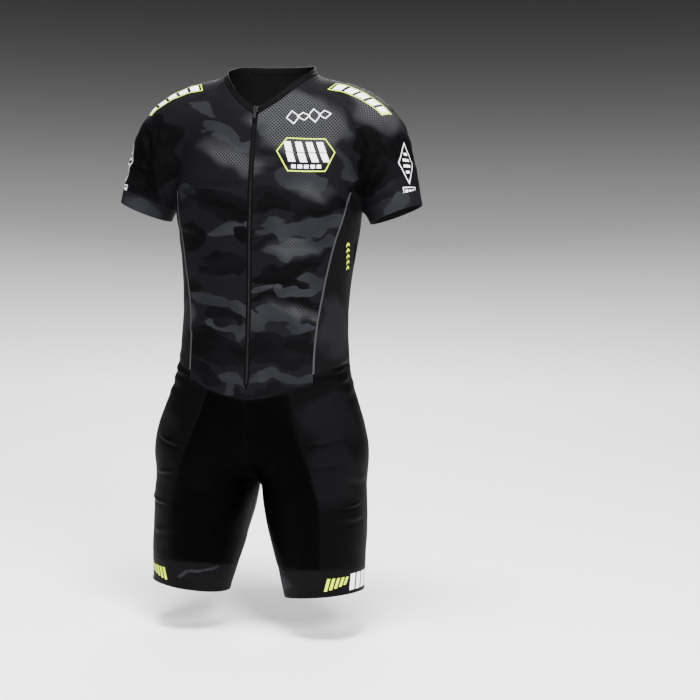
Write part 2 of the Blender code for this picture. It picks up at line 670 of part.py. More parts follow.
def block(name, size, centre, frame):
    """A box of a size (x, y, z) about a centre in a frame, as a mesh."""
    bpy.ops.mesh.primitive_cube_add(size=1)
    thing = bpy.context.object
    thing.name = name
    mesh = thing.data
    mesh.transform(frame @ Matrix.Translation(centre) @ Matrix.Diagonal((*size, 1)))
    if frame.to_3x3().determinant() < 0:
        mesh.flip_normals()
    for owner in thing.users_collection:
        owner.objects.unlink(thing)
    return thing


def cutter(thing):
    bpy.data.collections[CUTTERS].objects.link(thing)
    thing.hide_render = True
    thing.display_type = "WIRE"
    return thing


def combine(thing, tool, operation):
    change = thing.modifiers.new(tool.name, "BOOLEAN")
    change.operation = operation
    change.solver = "EXACT"
    change.object = tool


def build_slider():
    """Slider on the tapes with its bridge, and the pull tab that swings on it."""
    frame = slider_frame()
    width, length, thick = SLIDER
    face = SLIDER_SEAT + thick
    body = block("zip_slider", (width, thick, length), (0, SLIDER_SEAT + thick / 2, 0), frame)
    bpy.data.collections[COLLECTION].objects.link(body)
    body.data.materials.append(finish("zip_metal"))
    wide, long, high = BRIDGE
    arch_height = high + BRIDGE_SINK
    arch_centre = (0, face + high - arch_height / 2, 0)
    combine(body, cutter(block("bridge", (wide, arch_height, long), arch_centre, frame)), "UNION")
    hole_height = high - BRIDGE_BAR
    hole_size = (wide * 2, hole_height, long - 2 * BRIDGE_BAR)
    combine(body, cutter(block("bridge_hole", hole_size, (0, face + hole_height / 2, 0), frame)),
            "DIFFERENCE")

    pivot = frame @ Vector((0, face + hole_height / 2, 0))
    axis = bpy.data.objects.new("pull_axis", None)
    bpy.data.collections[COLLECTION].objects.link(axis)
    axis.location = pivot
    turn = frame.to_3x3().to_4x4()
    tab_wide, tab_long, tab_thick = PULL
    tab = block("zip_pull", (tab_wide, tab_thick, tab_long),
                (0, 0, PULL_BAR / 2 - tab_long / 2), turn)
    bpy.data.collections[COLLECTION].objects.link(tab)
    tab.data.materials.append(finish("zip_metal").copy())
    tab.parent = axis
    eye_wide, eye_long = PULL_EYE
    eye = block("pull_eye", (eye_wide, tab_thick * 3, eye_long),
                (0, 0, -PULL_BAR / 2 - eye_long / 2), Matrix.Translation(pivot) @ turn)
    combine(tab, cutter(eye), "DIFFERENCE")


def clear_scene():
    for thing in list(bpy.data.objects):
        bpy.data.objects.remove(thing, do_unlink=True)
    for name in (COLLECTION, CUTTERS):
        group = bpy.data.collections.new(name)
        bpy.context.scene.collection.children.link(group)


clear_scene()
SEAM = share_corners({name: draw_seam(route, CELLS[name]) for name, route in ROUTES.items()})
FRONT, SIDE, BACK = build_top()
build_shorts()
BINDING = binding_half()
build_binding(BINDING)
build_seam_tapes(FRONT, SIDE)
build_pocket(BACK)
build_zip_tapes(FRONT, BINDING)
build_slider()
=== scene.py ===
"""Looks of the one-piece cycling skinsuit: cloth, seams, zip, prints and a plain studio.

The suit hangs in its worn shape with no wearer.  Every sewn piece is a thin shell on the
same smooth form as its CAD solid, cut between the same seams on a finer grid, with soft
creases placed one by one.  Metres, +Z up, the chest faces -Y, the wearer's left is +X.
"""

import json
import logging
from dataclasses import dataclass
from enum import Enum
from typing import Iterable, Optional, Sequence, Union

import bmesh
import bpy
import numpy as np
from mathutils import Matrix, Vector

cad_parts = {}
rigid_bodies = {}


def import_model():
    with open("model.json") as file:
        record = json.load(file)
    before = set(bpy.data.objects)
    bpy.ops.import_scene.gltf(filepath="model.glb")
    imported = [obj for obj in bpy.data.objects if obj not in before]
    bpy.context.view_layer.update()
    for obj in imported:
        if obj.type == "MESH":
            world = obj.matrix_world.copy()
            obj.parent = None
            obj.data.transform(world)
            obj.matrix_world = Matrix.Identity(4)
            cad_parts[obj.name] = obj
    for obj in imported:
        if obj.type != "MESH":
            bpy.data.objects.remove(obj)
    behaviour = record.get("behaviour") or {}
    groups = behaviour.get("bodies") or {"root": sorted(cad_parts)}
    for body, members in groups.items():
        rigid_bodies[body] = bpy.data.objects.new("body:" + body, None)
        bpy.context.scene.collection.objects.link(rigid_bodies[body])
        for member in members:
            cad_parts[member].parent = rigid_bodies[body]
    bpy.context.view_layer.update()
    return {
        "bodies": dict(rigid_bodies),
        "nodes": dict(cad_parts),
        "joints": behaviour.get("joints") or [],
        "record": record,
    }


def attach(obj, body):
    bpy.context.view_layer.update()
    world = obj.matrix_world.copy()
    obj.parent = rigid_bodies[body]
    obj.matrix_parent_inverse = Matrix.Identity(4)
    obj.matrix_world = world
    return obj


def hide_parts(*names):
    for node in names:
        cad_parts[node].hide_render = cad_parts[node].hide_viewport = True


logging.basicConfig(level=logging.INFO, format="%(message)s")
LOG = logging.getLogger("skinsuit")

SUIT, PULL = "suit", "pull"
DENSITY = 6                       # fine cells along one cell of a CAD seam
SHARP_FROM = 55.0                 # degrees from which a cloth's rim stays sharp
FRONT_START, BACK_START = -0.12, 0.1    # y from which a point is moved onto front or back
FREE = 1.0                        # distance given to points that have no sewn edge near them

Point = tuple[float, float, float]
Grid = np.ndarray


# ---- The worn form ------------------------------------------------------------------
def read_rows(rows: np.ndarray, at: np.ndarray) -> np.ndarray:
    """Smooth cubic values through a table's rows, by its first column.

    Args:
        rows: the table, one key and its values in each row, keys rising.
        at: the keys to read at.
    Returns:
        The values at those keys, with one more axis than at.
    """
    keys, values = rows[:, 0], rows[:, 1:]
    slopes = np.gradient(values, keys, axis=0)
    at = np.clip(at, keys[0], keys[-1])
    low = np.clip(np.searchsorted(keys, at, side="right") - 1, 0, len(keys) - 2)
    span = (keys[low + 1] - keys[low])[..., None]
    t = (at - keys[low])[..., None] / span
    start = (2 * t**3 - 3 * t**2 + 1) * values[low] + (t**3 - 2 * t**2 + t) * span * slopes[low]
    end = (3 * t**2 - 2 * t**3) * values[low + 1] + (t**3 - t**2) * span * slopes[low + 1]
    return start + end


def soft_join(a: np.ndarray, b: np.ndarray, width: float) -> np.ndarray:
    """The lower of two distances, rounded over a width where they run together."""
    share = np.clip(0.5 + 0.5 * (b - a) / width, 0, 1)
    return b * (1 - share) + a * share - width * share * (1 - share)


def unit(vectors: np.ndarray) -> np.ndarray:
    """Vectors scaled to a length of one."""
    return vectors / np.maximum(np.linalg.norm(vectors, axis=-1, keepdims=True), 1e-12)


def run_of(line: np.ndarray) -> np.ndarray:
    """Length run along a line's points, from 0."""
    return np.concatenate([[0], np.cumsum(np.linalg.norm(np.diff(line, axis=0), axis=1))])


def read_line(line: np.ndarray, keys: np.ndarray, at: np.ndarray) -> np.ndarray:
    """A line's points, which stand at rising keys, read at other keys."""
    return np.column_stack([np.interp(at, keys, line[:, axis]) for axis in range(3)])


def cells_of(numbers: np.ndarray) -> np.ndarray:
    """The four corners of every cell of a grid of point numbers, row by row."""
    corners = (numbers[:-1, :-1], numbers[:-1, 1:], numbers[1:, 1:], numbers[1:, :-1])
    return np.stack(corners, axis=-1).reshape(-1, 4)


def number_grid(rows: int, columns: int) -> np.ndarray:
    """Numbers of a grid's points, row by row."""
    return np.arange(rows * columns).reshape(rows, columns)


class WornForm:
    """The middle of the cloth as a distance field: trunk, two legs and two arms.

    Trunk and legs are stacked rounded sections, an arm is a chain of cones; soft_join
    runs them together.  Below zero is inside.
    """

    ARM_BLEND, CROTCH_BLEND, HIP_BLEND, SEAT_BLEND = 0.024, 0.024, 0.040, 0.050
    SEAT_FLOOR = -0.635
    SQUARENESS = 2.3
    ARM_STATIONS = 17
    # Rows in millimetres: height, half width, centre y, depth to the front and to the back.
    TRUNK = np.array([
        (120, 60, 18, 56, 58), (45, 68, 14, 60, 66), (20, 82, 12, 67, 78),
        (-10, 105, 10, 78, 90), (-40, 126, 9, 90, 100), (-80, 146, 8, 101, 108),
        (-130, 157, 6, 108, 112), (-190, 160, 3, 112, 112), (-260, 153, 0, 109, 104),
        (-340, 144, -6, 102, 92), (-410, 143, -12, 98, 90), (-470, 149, -18, 96, 100),
        (-530, 162, -22, 96, 118), (-590, 172, -24, 92, 130), (-650, 176, -24, 84, 126),
        (-720, 176, -22, 76, 110),
    ]) / 1000
    # Height, centre x and y, half width, half depth.
    LEG = np.array([
        (-480, 75, -20, 30, 30), (-560, 84, -22, 76, 88), (-620, 89, -24, 88, 99),
        (-670, 95, -26, 89, 98), (-710, 99, -28, 87, 95), (-770, 107, -31, 80, 88),
        (-820, 114, -34, 72, 80), (-870, 121, -37, 65, 74), (-930, 123, -40, 64, 70),
    ]) / 1000
    # Stations down the arm: x, y, z, half width, half depth.
    ARM = np.array([
        (40, 14, -42, 45, 52), (105, 12, -47, 63, 66), (170, 8, -78, 62, 66),
        (200, 3, -135, 53, 60), (223, -2, -207, 45, 53), (246, -6, -280, 42, 49),
    ]) / 1000

    def __init__(self) -> None:
        """Reads the arm's axis from its stations once."""
        rows = np.column_stack([np.arange(len(self.ARM)), self.ARM])
        self.axis = read_rows(rows, np.linspace(0, len(self.ARM) - 1, self.ARM_STATIONS))

    def trunk(self, points: np.ndarray) -> np.ndarray:
        """Distance to the trunk: (|x/w|^n + |y/d|^n)^(1/n) - 1, times its smaller half."""
        section = read_rows(self.TRUNK[::-1], points[..., 2])
        half, centre = section[..., 0], section[..., 1]
        depth = np.where(points[..., 1] < centre, section[..., 2], section[..., 3])
        across = (np.abs(points[..., 0]) / half) ** self.SQUARENESS
        through = (np.abs(points[..., 1] - centre) / depth) ** self.SQUARENESS
        ratio = (across + through + 1e-12) ** (1 / self.SQUARENESS)
        around = (ratio - 1) * np.minimum(half, depth)
        return -soft_join(-around, points[..., 2] - self.SEAT_FLOOR, self.SEAT_BLEND)

    def leg(self, points: np.ndarray, side: int) -> np.ndarray:
        """Distance to one leg, an ellipse at each height, fading out above the hips."""
        section = read_rows(self.LEG[::-1], points[..., 2])
        above = np.maximum(points[..., 2] - self.LEG[0, 0], 0)
        across = (points[..., 0] * side - section[..., 0]) / section[..., 2]
        through = (points[..., 1] - section[..., 1]) / section[..., 3]
        ratio = np.sqrt(across**2 + through**2 + 1e-12)
        return (ratio - 1) * np.minimum(section[..., 2], section[..., 3]) + above

    def arm(self, points: np.ndarray) -> np.ndarray:
        """Distance to the nearer arm, a chain of cones flattened to its depth."""
        mirrored = points.copy()
        mirrored[..., 0] = np.abs(points[..., 0])
        nearest = np.full(points.shape[:-1], np.inf)
        for start, end in zip(self.axis[:-1], self.axis[1:]):
            run = end[:3] - start[:3]
            t = np.clip((mirrored - start[:3]) @ run / (run @ run), 0, 1)
            width = start[3] + t * (end[3] - start[3])
            depth = start[4] + t * (end[4] - start[4])
            away = mirrored - (start[:3] + t[..., None] * run)
            away[..., 1] *= width / depth
            nearest = np.minimum(nearest, np.linalg.norm(away, axis=-1) - width)
        return nearest

    def distance(self, points: np.ndarray) -> np.ndarray:
        """Below zero inside the worn shape, zero on the middle of its cloth."""
        legs = soft_join(self.leg(points, 1), self.leg(points, -1), self.CROTCH_BLEND)
        body = soft_join(self.trunk(points), legs, self.HIP_BLEND)
        return soft_join(body, self.arm(points), self.ARM_BLEND)

    def slope(self, points: np.ndarray, step: float = 2e-4) -> np.ndarray:
        """The distance's slope along x, y and z, by central differences."""
        slope = np.empty_like(points)
        for axis in range(3):
            shift = np.zeros(3)
            shift[axis] = step
            slope[..., axis] = (self.distance(points + shift)
                                - self.distance(points - shift)) / (2 * step)
        return slope

    def normal(self, points: np.ndarray) -> np.ndarray:
        """Outward directions of the form at points near it."""
        return unit(self.slope(points))

    def settle(self, points: np.ndarray, steps: int = 6) -> np.ndarray:
        """Points moved onto the form along its slope."""
        points = np.array(points, dtype=float)
        for _ in range(steps):
            slope = self.slope(points)
            size = np.maximum((slope * slope).sum(-1), 1e-6)
            points -= (self.distance(points) / size)[..., None] * slope
        return points

    def on_height(self, points: np.ndarray) -> np.ndarray:
        """Points moved along y only, onto the front or back that they are nearer to."""
        points = np.array(points, dtype=float)
        for _ in range(12):
            slope = self.slope(points)[..., 1]
            slope = np.where(np.abs(slope) < 0.2, np.sign(slope) * 0.2, slope)
            points[..., 1] -= self.distance(points) / slope
        return points

    def push_out(self, points: np.ndarray, directions: np.ndarray, start: float = -0.03,
                 reach: float = 0.14, steps: int = 36) -> np.ndarray:
        """From just inside, the first point of the form along each direction.

        Args:
            points: where each direction passes.
            directions: unit directions outwards.
            start: where the walk begins along each direction.
            reach: how far it goes.
            steps: how many stops it makes before halving in on the form.
        Returns:
            The points on the form.
        """
        ways = np.linspace(start, start + reach, steps)
        inside = np.empty((*points.shape[:-1], steps), dtype=bool)
        for k, way in enumerate(ways):
            inside[..., k] = self.distance(points + way * directions) < 0
        first = np.argmax(~inside, axis=-1)
        found = inside[..., 0] & (first > 0)
        high, low = ways[first], ways[np.maximum(first - 1, 0)]
        for _ in range(8):
            middle = 0.5 * (low + high)
            under = self.distance(points + middle[..., None] * directions) < 0
            low, high = np.where(under, middle, low), np.where(under, high, middle)
        moved = points + high[..., None] * directions
        return self.settle(np.where(found[..., None], moved, points), 3)


# ---- Seams --------------------------------------------------------------------------
class SeamPlan:
    """Every seam of the wearer's left half, drawn once on the form."""

    ZIP_HALF_SLOT = 0.0045
    ZIP_TOP, ZIP_FOOT, ZIP_CLOSE, CENTRE_FOOT = -0.047, -0.494, -0.503, -0.521
    LEG_HEM, HEM_RISE_OUT, HEM_DROP_BACK, HEM_TAPER = -0.850, 0.12, 0.06, 0.92
    SLEEVE_HEM_CENTRE = (0.223, -0.002, -0.209)
    SLEEVE_HEM_HALF = (0.046, 0.054)
    SLEEVE_HEM_TILT = np.radians(22.0)
    BINDING_WIDTH, BINDING_POINT = 0.010, 1.3
    FINE = 6                  # points that a seam's curve is read at in each of its cells
    SAME_CORNER = 0.003       # seam ends nearer than this are one corner

    # Points that each seam is drawn through, in millimetres.
    ROUTES: dict[str, list[Point]] = {
        "neck_front": [(4.5, -83, -47), (20, -78, -37), (45, -68, -16), (72, -50, 14)],
        "neck_side": [(72, -50, 14), (80, -20, 23), (78, 22, 32), (62, 62, 38)],
        "neck_back": [(62, 62, 38), (34, 80, 38), (0, 85, 38)],
        "raglan_front": [(72, -50, 14), (100, -50, -4), (128, -48, -22), (152, -54, -50),
            (166, -58, -80), (172, -57, -105), (170, -50, -135), (157, -40, -168)],
        "raglan_back": [(62, 62, 38), (98, 68, 14), (130, 66, -12), (160, 62, -42), (176, 58, -75),
            (182, 54, -110), (178, 46, -150), (165, 34, -183)],
        "armhole_front": [(157, -40, -168), (162, -22, -188), (165, 0, -198)],
        "armhole_back": [(165, 0, -198), (166, 18, -194), (165, 34, -183)],
        "princess": [(157, -40, -168), (148, -48, -200), (134, -62, -255), (119, -72, -330),
            (110, -80, -395), (108, -87, -440), (108, -92, -477)],
        "princess_end": [(108, -92, -477), (108, -93, -491)],
        "side_back": [(165, 34, -183), (152, 30, -245), (138, 38, -300), (122, 45, -370),
            (110, 54, -430), (98, 64, -475), (90, 70, -500)],
        "waist_front": [(0, -118, -521), (35, -116, -515), (70, -110, -506)],
        "waist_hip": [(70, -110, -506), (87, -104, -498), (108, -93, -491)],
        "waist_side": [(108, -92, -477), (129, -74, -472), (147, -34, -462), (151, 0, -462),
            (142, 35, -472), (118, 58, -487), (90, 70, -500)],
        "waist_back": [(90, 70, -500), (68, 84, -518), (38, 93, -540), (0, 97, -552)],
        "rise_front": [(0, -118, -521), (0, -116, -590), (0, -85, -640), (0, -28, -671)],
        "rise_back": [(0, 97, -552), (0, 104, -600), (0, 60, -650), (0, -28, -671)],
        "inseam": [(0, -28, -671), (11, -30, -700), (20, -31, -738), (37, -34, -815)],
        "thigh_front": [(70, -110, -506), (79, -117, -544), (99, -124, -598), (115, -122, -644),
            (127, -117, -693), (130, -114, -750), (130, -113, -797)],
        "thigh_back": [(90, 70, -500), (98, 78, -526), (115, 82, -572), (124, 75, -605)],
        "inset_outer": [(124, 75, -605), (144, 55, -650), (157, 42, -700), (166, 28, -755),
            (170, 18, -800)],
        "inset_inner": [(124, 75, -605), (118, 72, -640), (108, 68, -684), (99, 64, -725),
            (94, 55, -765), (94, 48, -800)],
        "band_front": [(37, -34, -815), (47, -75, -808), (82, -108, -800), (130, -113, -797)],
        "band_side": [(130, -113, -797), (165, -90, -797), (186, -40, -797), (170, 18, -800)],
        "band_inset": [(170, 18, -800), (135, 46, -800), (94, 48, -800)],
        "band_seat": [(94, 48, -800), (54, 18, -807), (37, -34, -815)],
    }
    CELLS = {
        "neck_front": 7, "neck_side": 6, "neck_back": 5, "raglan_front": 9,
        "raglan_back": 8, "armhole_front": 3, "armhole_back": 4, "princess": 12,
        "princess_end": 1, "side_back": 12, "waist_front": 5, "waist_hip": 2,
        "waist_side": 7, "waist_back": 5, "rise_front": 7, "rise_back": 7, "inseam": 5,
        "thigh_front": 12, "thigh_back": 4, "inset_outer": 8, "inset_inner": 8,
        "band_front": 5, "band_side": 10, "band_inset": 3, "band_seat": 5,
    }

    def __init__(self, form: WornForm, density: int) -> None:
        """Draws all seams and gives those that meet one common end point."""
        self.form = form
        self.density = density
        self.seams = {name: self.draw(route, self.CELLS[name] * density)
                      for name, route in self.ROUTES.items()}
        corners: list[np.ndarray] = []
        for points in self.seams.values():
            for end in (0, -1):
                near = [corner for corner in corners
                        if np.linalg.norm(points[end] - corner) < self.SAME_CORNER]
                if near:
                    points[end] = near[0]
                else:
                    corners.append(points[end].copy())

    def draw(self, route: Sequence[Point], cells: int) -> np.ndarray:
        """A smooth line through a route's points, in equal steps, on the form."""
        through = np.array(route) / 1000
        along = run_of(through)
        stops = np.linspace(0, along[-1], self.FINE * cells + 1)
        fine = self.form.settle(read_rows(np.column_stack([along, through]), stops))
        run = run_of(fine)
        return self.form.settle(read_line(fine, run, np.linspace(0, run[-1], cells + 1)), 3)

    def chain(self, *names: str) -> np.ndarray:
        """Seams end to end as one edge; a name with a minus sign runs backwards."""
        edges: list[np.ndarray] = []
        for name in names:
            points = self.seams[name.lstrip("-")]
            points = points[::-1] if name.startswith("-") else points
            edges.append(points if not edges else points[1:])
        return np.concatenate(edges)

    def centre_front(self) -> np.ndarray:
        """A front panel's edge along the zip and down the short seam under it."""
        cells, d = self.CELLS, self.density
        rows = cells["raglan_front"] + cells["princess"] + cells["princess_end"] - 2
        heights = np.concatenate([np.linspace(self.ZIP_TOP, self.ZIP_FOOT, rows * d + 1),
                                  np.linspace(self.ZIP_FOOT, self.ZIP_CLOSE, d + 1)[1:],
                                  np.linspace(self.ZIP_CLOSE, self.CENTRE_FOOT, d + 1)[1:]])
        start = np.full(len(heights), FRONT_START)
        edge = self.form.on_height(np.column_stack([self.zip_half(heights), start, heights]))
        edge[0], edge[-1] = self.seams["neck_front"][0], self.seams["waist_front"][0]
        return edge

    def zip_half(self, heights: np.ndarray) -> np.ndarray:
        """Half the width between the front panels: a slot that closes below the zip."""
        share = np.clip((heights - self.ZIP_CLOSE) / (self.ZIP_FOOT - self.ZIP_CLOSE), 0, 1)
        return self.ZIP_HALF_SLOT * share

    def centre_back(self) -> np.ndarray:
        """The middle of the back, from the neck down to the point of the waist seam."""
        rows = (self.CELLS["raglan_back"] + self.CELLS["side_back"]) * self.density
        top, foot = self.seams["neck_back"][-1], self.seams["waist_back"][-1]
        heights = np.linspace(top[2], foot[2], rows + 1)
        start = np.full(rows + 1, BACK_START)
        edge = self.form.on_height(np.column_stack([np.zeros(rows + 1), start, heights]))
        edge[0], edge[-1] = top, foot
        return edge

    def armhole_ring(self) -> np.ndarray:
        """The sleeve's top edge: round the armhole, up both raglan seams and the neck."""
        return self.chain("-armhole_front", "-raglan_front", "neck_side", "raglan_back",
                          "-armhole_back")

    def sleeve_hem(self, count: int) -> np.ndarray:
        """Ring of the sleeve's end in so many cells, from the underarm round the front."""
        angle = np.pi + np.linspace(0, 2 * np.pi, count + 1)
        across = np.array([np.cos(self.SLEEVE_HEM_TILT), 0, np.sin(self.SLEEVE_HEM_TILT)])
        ring = (np.array(self.SLEEVE_HEM_CENTRE)
                + self.SLEEVE_HEM_HALF[0] * np.cos(angle)[:, None] * across
                + self.SLEEVE_HEM_HALF[1] * np.sin(angle)[:, None] * np.array([0, 1, 0]))
        return self.form.settle(ring)

    def band_ring(self) -> np.ndarray:
        """Top edge of a leg band, all round."""
        return self.chain("band_front", "band_side", "band_inset", "band_seat")

    def leg_hem(self, top: np.ndarray) -> np.ndarray:
        """The leg's hem below the top of its band, settled square to the leg."""
        middle = self.form.LEG[-2, 1:3]
        ring = top.copy()
        away = ring[:, :2] - middle
        rise = self.HEM_RISE_OUT * away[:, 0] - self.HEM_DROP_BACK * away[:, 1]
        ring[:, 2] = self.LEG_HEM + rise
        ring[:, :2] = middle + away * self.HEM_TAPER
        for _ in range(12):
            slope = self.form.slope(ring)[:, :2]
            size = np.maximum((slope * slope).sum(-1), 1e-6)
            ring[:, :2] -= (self.form.distance(ring) / size)[:, None] * slope
        return ring

    def binding_half(self) -> np.ndarray:
        """Left half of the neck binding: its free edge, then the neckline."""
        neckline = self.chain("neck_front", "neck_side", "neck_back")
        along = unit(np.gradient(neckline, axis=0))
        inward = np.cross(self.form.normal(neckline), along)
        edge = self.form.settle(neckline + inward * self.BINDING_WIDTH)
        edge[:, 0] = np.maximum(edge[:, 0], self.ZIP_HALF_SLOT)
        edge[0] = neckline[0] + np.array([0, 0, self.BINDING_WIDTH * self.BINDING_POINT])
        edge[-1, 0] = 0.0
        edge[0] = self.form.on_height(edge[:1])[0]
        return np.stack([edge, neckline], axis=0)


# ---- Creases ------------------------------------------------------------------------
@dataclass(frozen=True)
class Crease:
    """One soft fold: a ridge with a trough along its lower side.

    Attributes:
        start, end: its ends, near the form.
        width: how wide the ridge is.
        height: how high it stands; below zero it is a trough with a ridge under it.
        bow: how far its middle bends down, as a share of its length.
    """

    start: Point
    end: Point
    width: float
    height: float
    bow: float = 0.0

    @classmethod
    def read(cls, row: Sequence[float]) -> "Crease":
        """A crease from a row of a table, which is in millimetres but for the bow."""
        sizes = [value / 1000 for value in row[:8]]
        return cls(tuple(sizes[:3]), tuple(sizes[3:6]), sizes[6], sizes[7], row[8])


# Each row: start x, y, z, end x, y, z, width and height in millimetres, then the bow.
FRONT_CREASES = (
    # The chest beside the zip, and the flat folds of the belly.
    (1, -103, -136, 43, -100, -136, 3.2, 0.8, 0), (6, -98, -105, 40, -97, -114, 3.2, 0.7, 0),
    (27, -100, -124, 49, -99, -129, 3, 0.6, 0), (-2, -108, -319, 65, -101, -328, 4.5, -0.9, 0.05),
    (21, -109, -257, 134, -62, -243, 5, 0.8, 0.06),
    (-129, -70, -165, -10, -107, -165, 8.5, -0.9, 0.05),
    (113, -83, -218, 137, -62, -211, 4, 0.7, 0), (83, -95, -291, 122, -72, -278, 5, 0.7, 0.08),
    (5, -108, -332, 84, -94, -327, 5, 0.7, 0.07),
    (-101, -86, -360, -12, -108, -361, 6, 0.6, -0.04),
    (-92, -90, -313, -11, -108, -306, 5, -0.7, 0.05),
    (-120, -78, -405, -70, -102, -398, 6, 0.6, 0.04),
    (60, -105, -452, 104, -89, -442, 6, 0.5, 0.06),
    (-138, -56, -232, -95, -90, -240, 5.5, 0.6, 0.05),
    (70, -100, -200, 132, -66, -186, 9, 0.7, 0.08),
    # Gathers that run into the waist seam at the hips.
    (109, -92, -482, 148, -26, -465, 3.2, 0.9, 0.03),
    (119, -88, -495, 151, -14, -480, 4.5, 0.7, 0.05),
    (108, -99, -511, 143, -62, -493, 6, 0.6, 0.05), (135, -82, -515, 156, -14, -503, 6, 0.5, 0.05),
    (124, -77, -462, 149, -10, -450, 5, 0.8, 0.04),
    (-109, -92, -486, -149, -20, -468, 4, 0.6, 0.04),
    (-118, -90, -500, -152, -10, -486, 6, 0.5, 0.05),
    (-130, -86, -521, -160, -10, -508, 7, 0.4, 0.05),
    (-122, -78, -458, -148, -12, -446, 5, 0.4, 0.04),
    # Across the front of the thighs.
    (100, -123, -590, 160, -85, -578, 2.8, 1, 0.05),
    (114, -122, -625, 162, -91, -619, 2.8, 0.9, 0.04),
    (136, -114, -689, 183, -47, -691, 2.8, 0.9, 0.05),
    (128, -117, -662, 150, -103, -667, 4, 0.5, 0), (151, -104, -712, 186, -39, -713, 5, 0.6, 0.04),
    (152, -90, -640, 186, -30, -652, 6, 0.6, 0.03),
    (-102, -123, -600, -158, -87, -590, 3.2, 0.8, 0.04),
    (-118, -121, -642, -170, -82, -650, 3.2, 0.7, 0.05),
    (-134, -114, -701, -184, -44, -694, 3.4, 0.7, 0.03),
    (-126, -117, -742, -170, -78, -750, 5.5, 0.6, 0.04),
    (12, -95, -640, 60, -116, -606, 8, 0.4, 0.1), (-12, -95, -636, -66, -118, -612, 8, 0.5, 0.08),
    (6, -52, -664, 58, -98, -650, 7, 0.4, 0.08), (-6, -50, -664, -52, -96, -656, 7, 0.4, 0.08),
)
SLEEVE_CREASES = (
    (-215, -43, -75, -206, -55, -114, 4.5, 1.3, 0), (-193, -54, -72, -187, -57, -117, 4.5, 1.4, 0),
    (-219, -52, -124, -195, -56, -147, 4.5, 1.4, 0),
    (-202, -57, -128, -183, -46, -169, 6, -1.1, 0.06),
    (-185, -50, -159, -175, -25, -201, 6, 1, 0.05),
    (-230, -45, -150, -200, -56, -172, 6, 0.9, 0.06),
    (-252, -20, -118, -232, -45, -140, 7, 0.7, 0.05),
    (167, -39, -164, 201, -56, -104, 7, 1.2, -0.05),
    (176, -40, -174, 217, -53, -130, 6.5, 1.1, -0.04),
    (181, -37, -191, 231, -51, -166, 6, 1, -0.04), (159, -49, -121, 177, -58, -87, 6, 0.9, 0),
    (204, -53, -86, 222, -44, -116, 5, 1, 0), (152, -40, -181, 153, -30, -232, 3.5, 0.8, 0.04),
    (154, 3, -250, 148, 8, -294, 3.5, 0.7, 0.04),
    (-152, -40, -184, -152, -26, -240, 3.5, 0.8, 0.03),
    # The backs of the sleeves and the folds that fan out of the armpits.
    (184, 50, -150, 222, 52, -112, 7, 1.2, 0.05), (182, 44, -172, 236, 46, -152, 6, 1.1, 0.05),
    (196, 54, -84, 214, 50, -122, 5.5, 1, 0), (-186, 50, -146, -218, 52, -104, 7, 1.3, 0.06),
    (-182, 46, -168, -234, 46, -140, 6, 1.2, 0.05),
    (-190, 30, -196, -244, 34, -184, 5.5, 0.9, 0.04), (-192, 56, -78, -206, 54, -118, 5.5, 1.1, 0),
)
BACK_CREASES = (
    (127, 37, -396, 44, 76, -403, 5, -1.1, 0.05), (127, 37, -428, 68, 71, -428, 5, 0.8, 0.05),
    (139, 20, -447, 70, 74, -472, 5, 1.2, 0.06), (70, 74, -472, -50, 76, -449, 5, 1.1, 0.07),
    (24, 84, -350, -99, 67, -342, 4.2, 1, 0.05), (4, 81, -375, -99, 61, -375, 5, 1, 0.04),
    (-46, 76, -399, -97, 60, -396, 4.2, 1, 0.05), (-52, 74, -417, -97, 59, -413, 4.2, 0.9, 0.05),
    (20, 116, -168, -30, 116, -167, 3.5, 0.7, 0), (-2, 117, -155, -36, 116, -151, 3.5, 0.6, 0),
    (64, 95, -272, 12, 103, -266, 4.5, 0.7, 0.05), (-16, 98, -287, -125, 63, -277, 5, 0.9, 0.05),
    (-99, 86, -256, -137, 57, -251, 4.2, 0.9, 0.05), (131, 35, -365, 99, 65, -350, 5, 1, 0.08),
    (44, 77, -451, -16, 80, -460, 6, -0.8, 0.05), (100, 78, -300, 140, 40, -292, 5.5, 0.8, 0.06),
    (60, 104, -215, 135, 72, -200, 8.5, 0.8, 0.08), (-60, 105, -130, -150, 76, -150, 9, 0.8, 0.08),
    # The side of the waist and the hips.
    (-76, 70, -451, -135, 26, -436, 4.2, 1.2, 0.05), (-76, 74, -480, -137, 26, -460, 5, 1.2, 0.05),
    (-76, 80, -508, -151, -7, -483, 5, 1.2, 0.06), (-90, 84, -540, -156, 20, -512, 6, 0.9, 0.06),
    (78, 74, -484, 140, 30, -462, 5, 1, 0.05), (84, 82, -522, 154, 10, -492, 6, 1, 0.05),
    (-122, 52, -344, -140, 20, -352, 4.5, 0.9, 0.05),
    (-118, 54, -396, -138, 20, -404, 4.5, 0.9, 0.05),
    (120, 52, -386, 138, 18, -380, 4.5, 0.9, 0.05),
    # Under the seat and across the backs of the thighs.
    (-104, 82, -624, -160, 40, -606, 5, 1.2, 0.06), (-128, 68, -662, -174, 18, -636, 5, 1.2, 0.06),
    (-104, 68, -704, -152, 44, -700, 4.5, 1, 0.05), (-98, 62, -744, -160, 32, -742, 4.5, 1, -0.04),
    (-96, 52, -782, -150, 34, -776, 4, 0.8, 0.04), (-20, 66, -652, -82, 78, -664, 7, 1, 0.1),
    (102, 80, -628, 158, 38, -616, 5, 1.1, 0.05), (112, 70, -676, 170, 16, -660, 5.5, 1.1, 0.06),
    (102, 66, -718, 154, 40, -712, 4.5, 1, 0.05), (98, 58, -760, 158, 28, -758, 4.5, 0.9, -0.04),
    (22, 66, -654, 80, 78, -660, 7, 1, 0.1), (20, 40, -712, 72, 64, -730, 6, 0.8, 0.06),
    (-20, 40, -716, -70, 64, -726, 6, 0.8, 0.06),
)


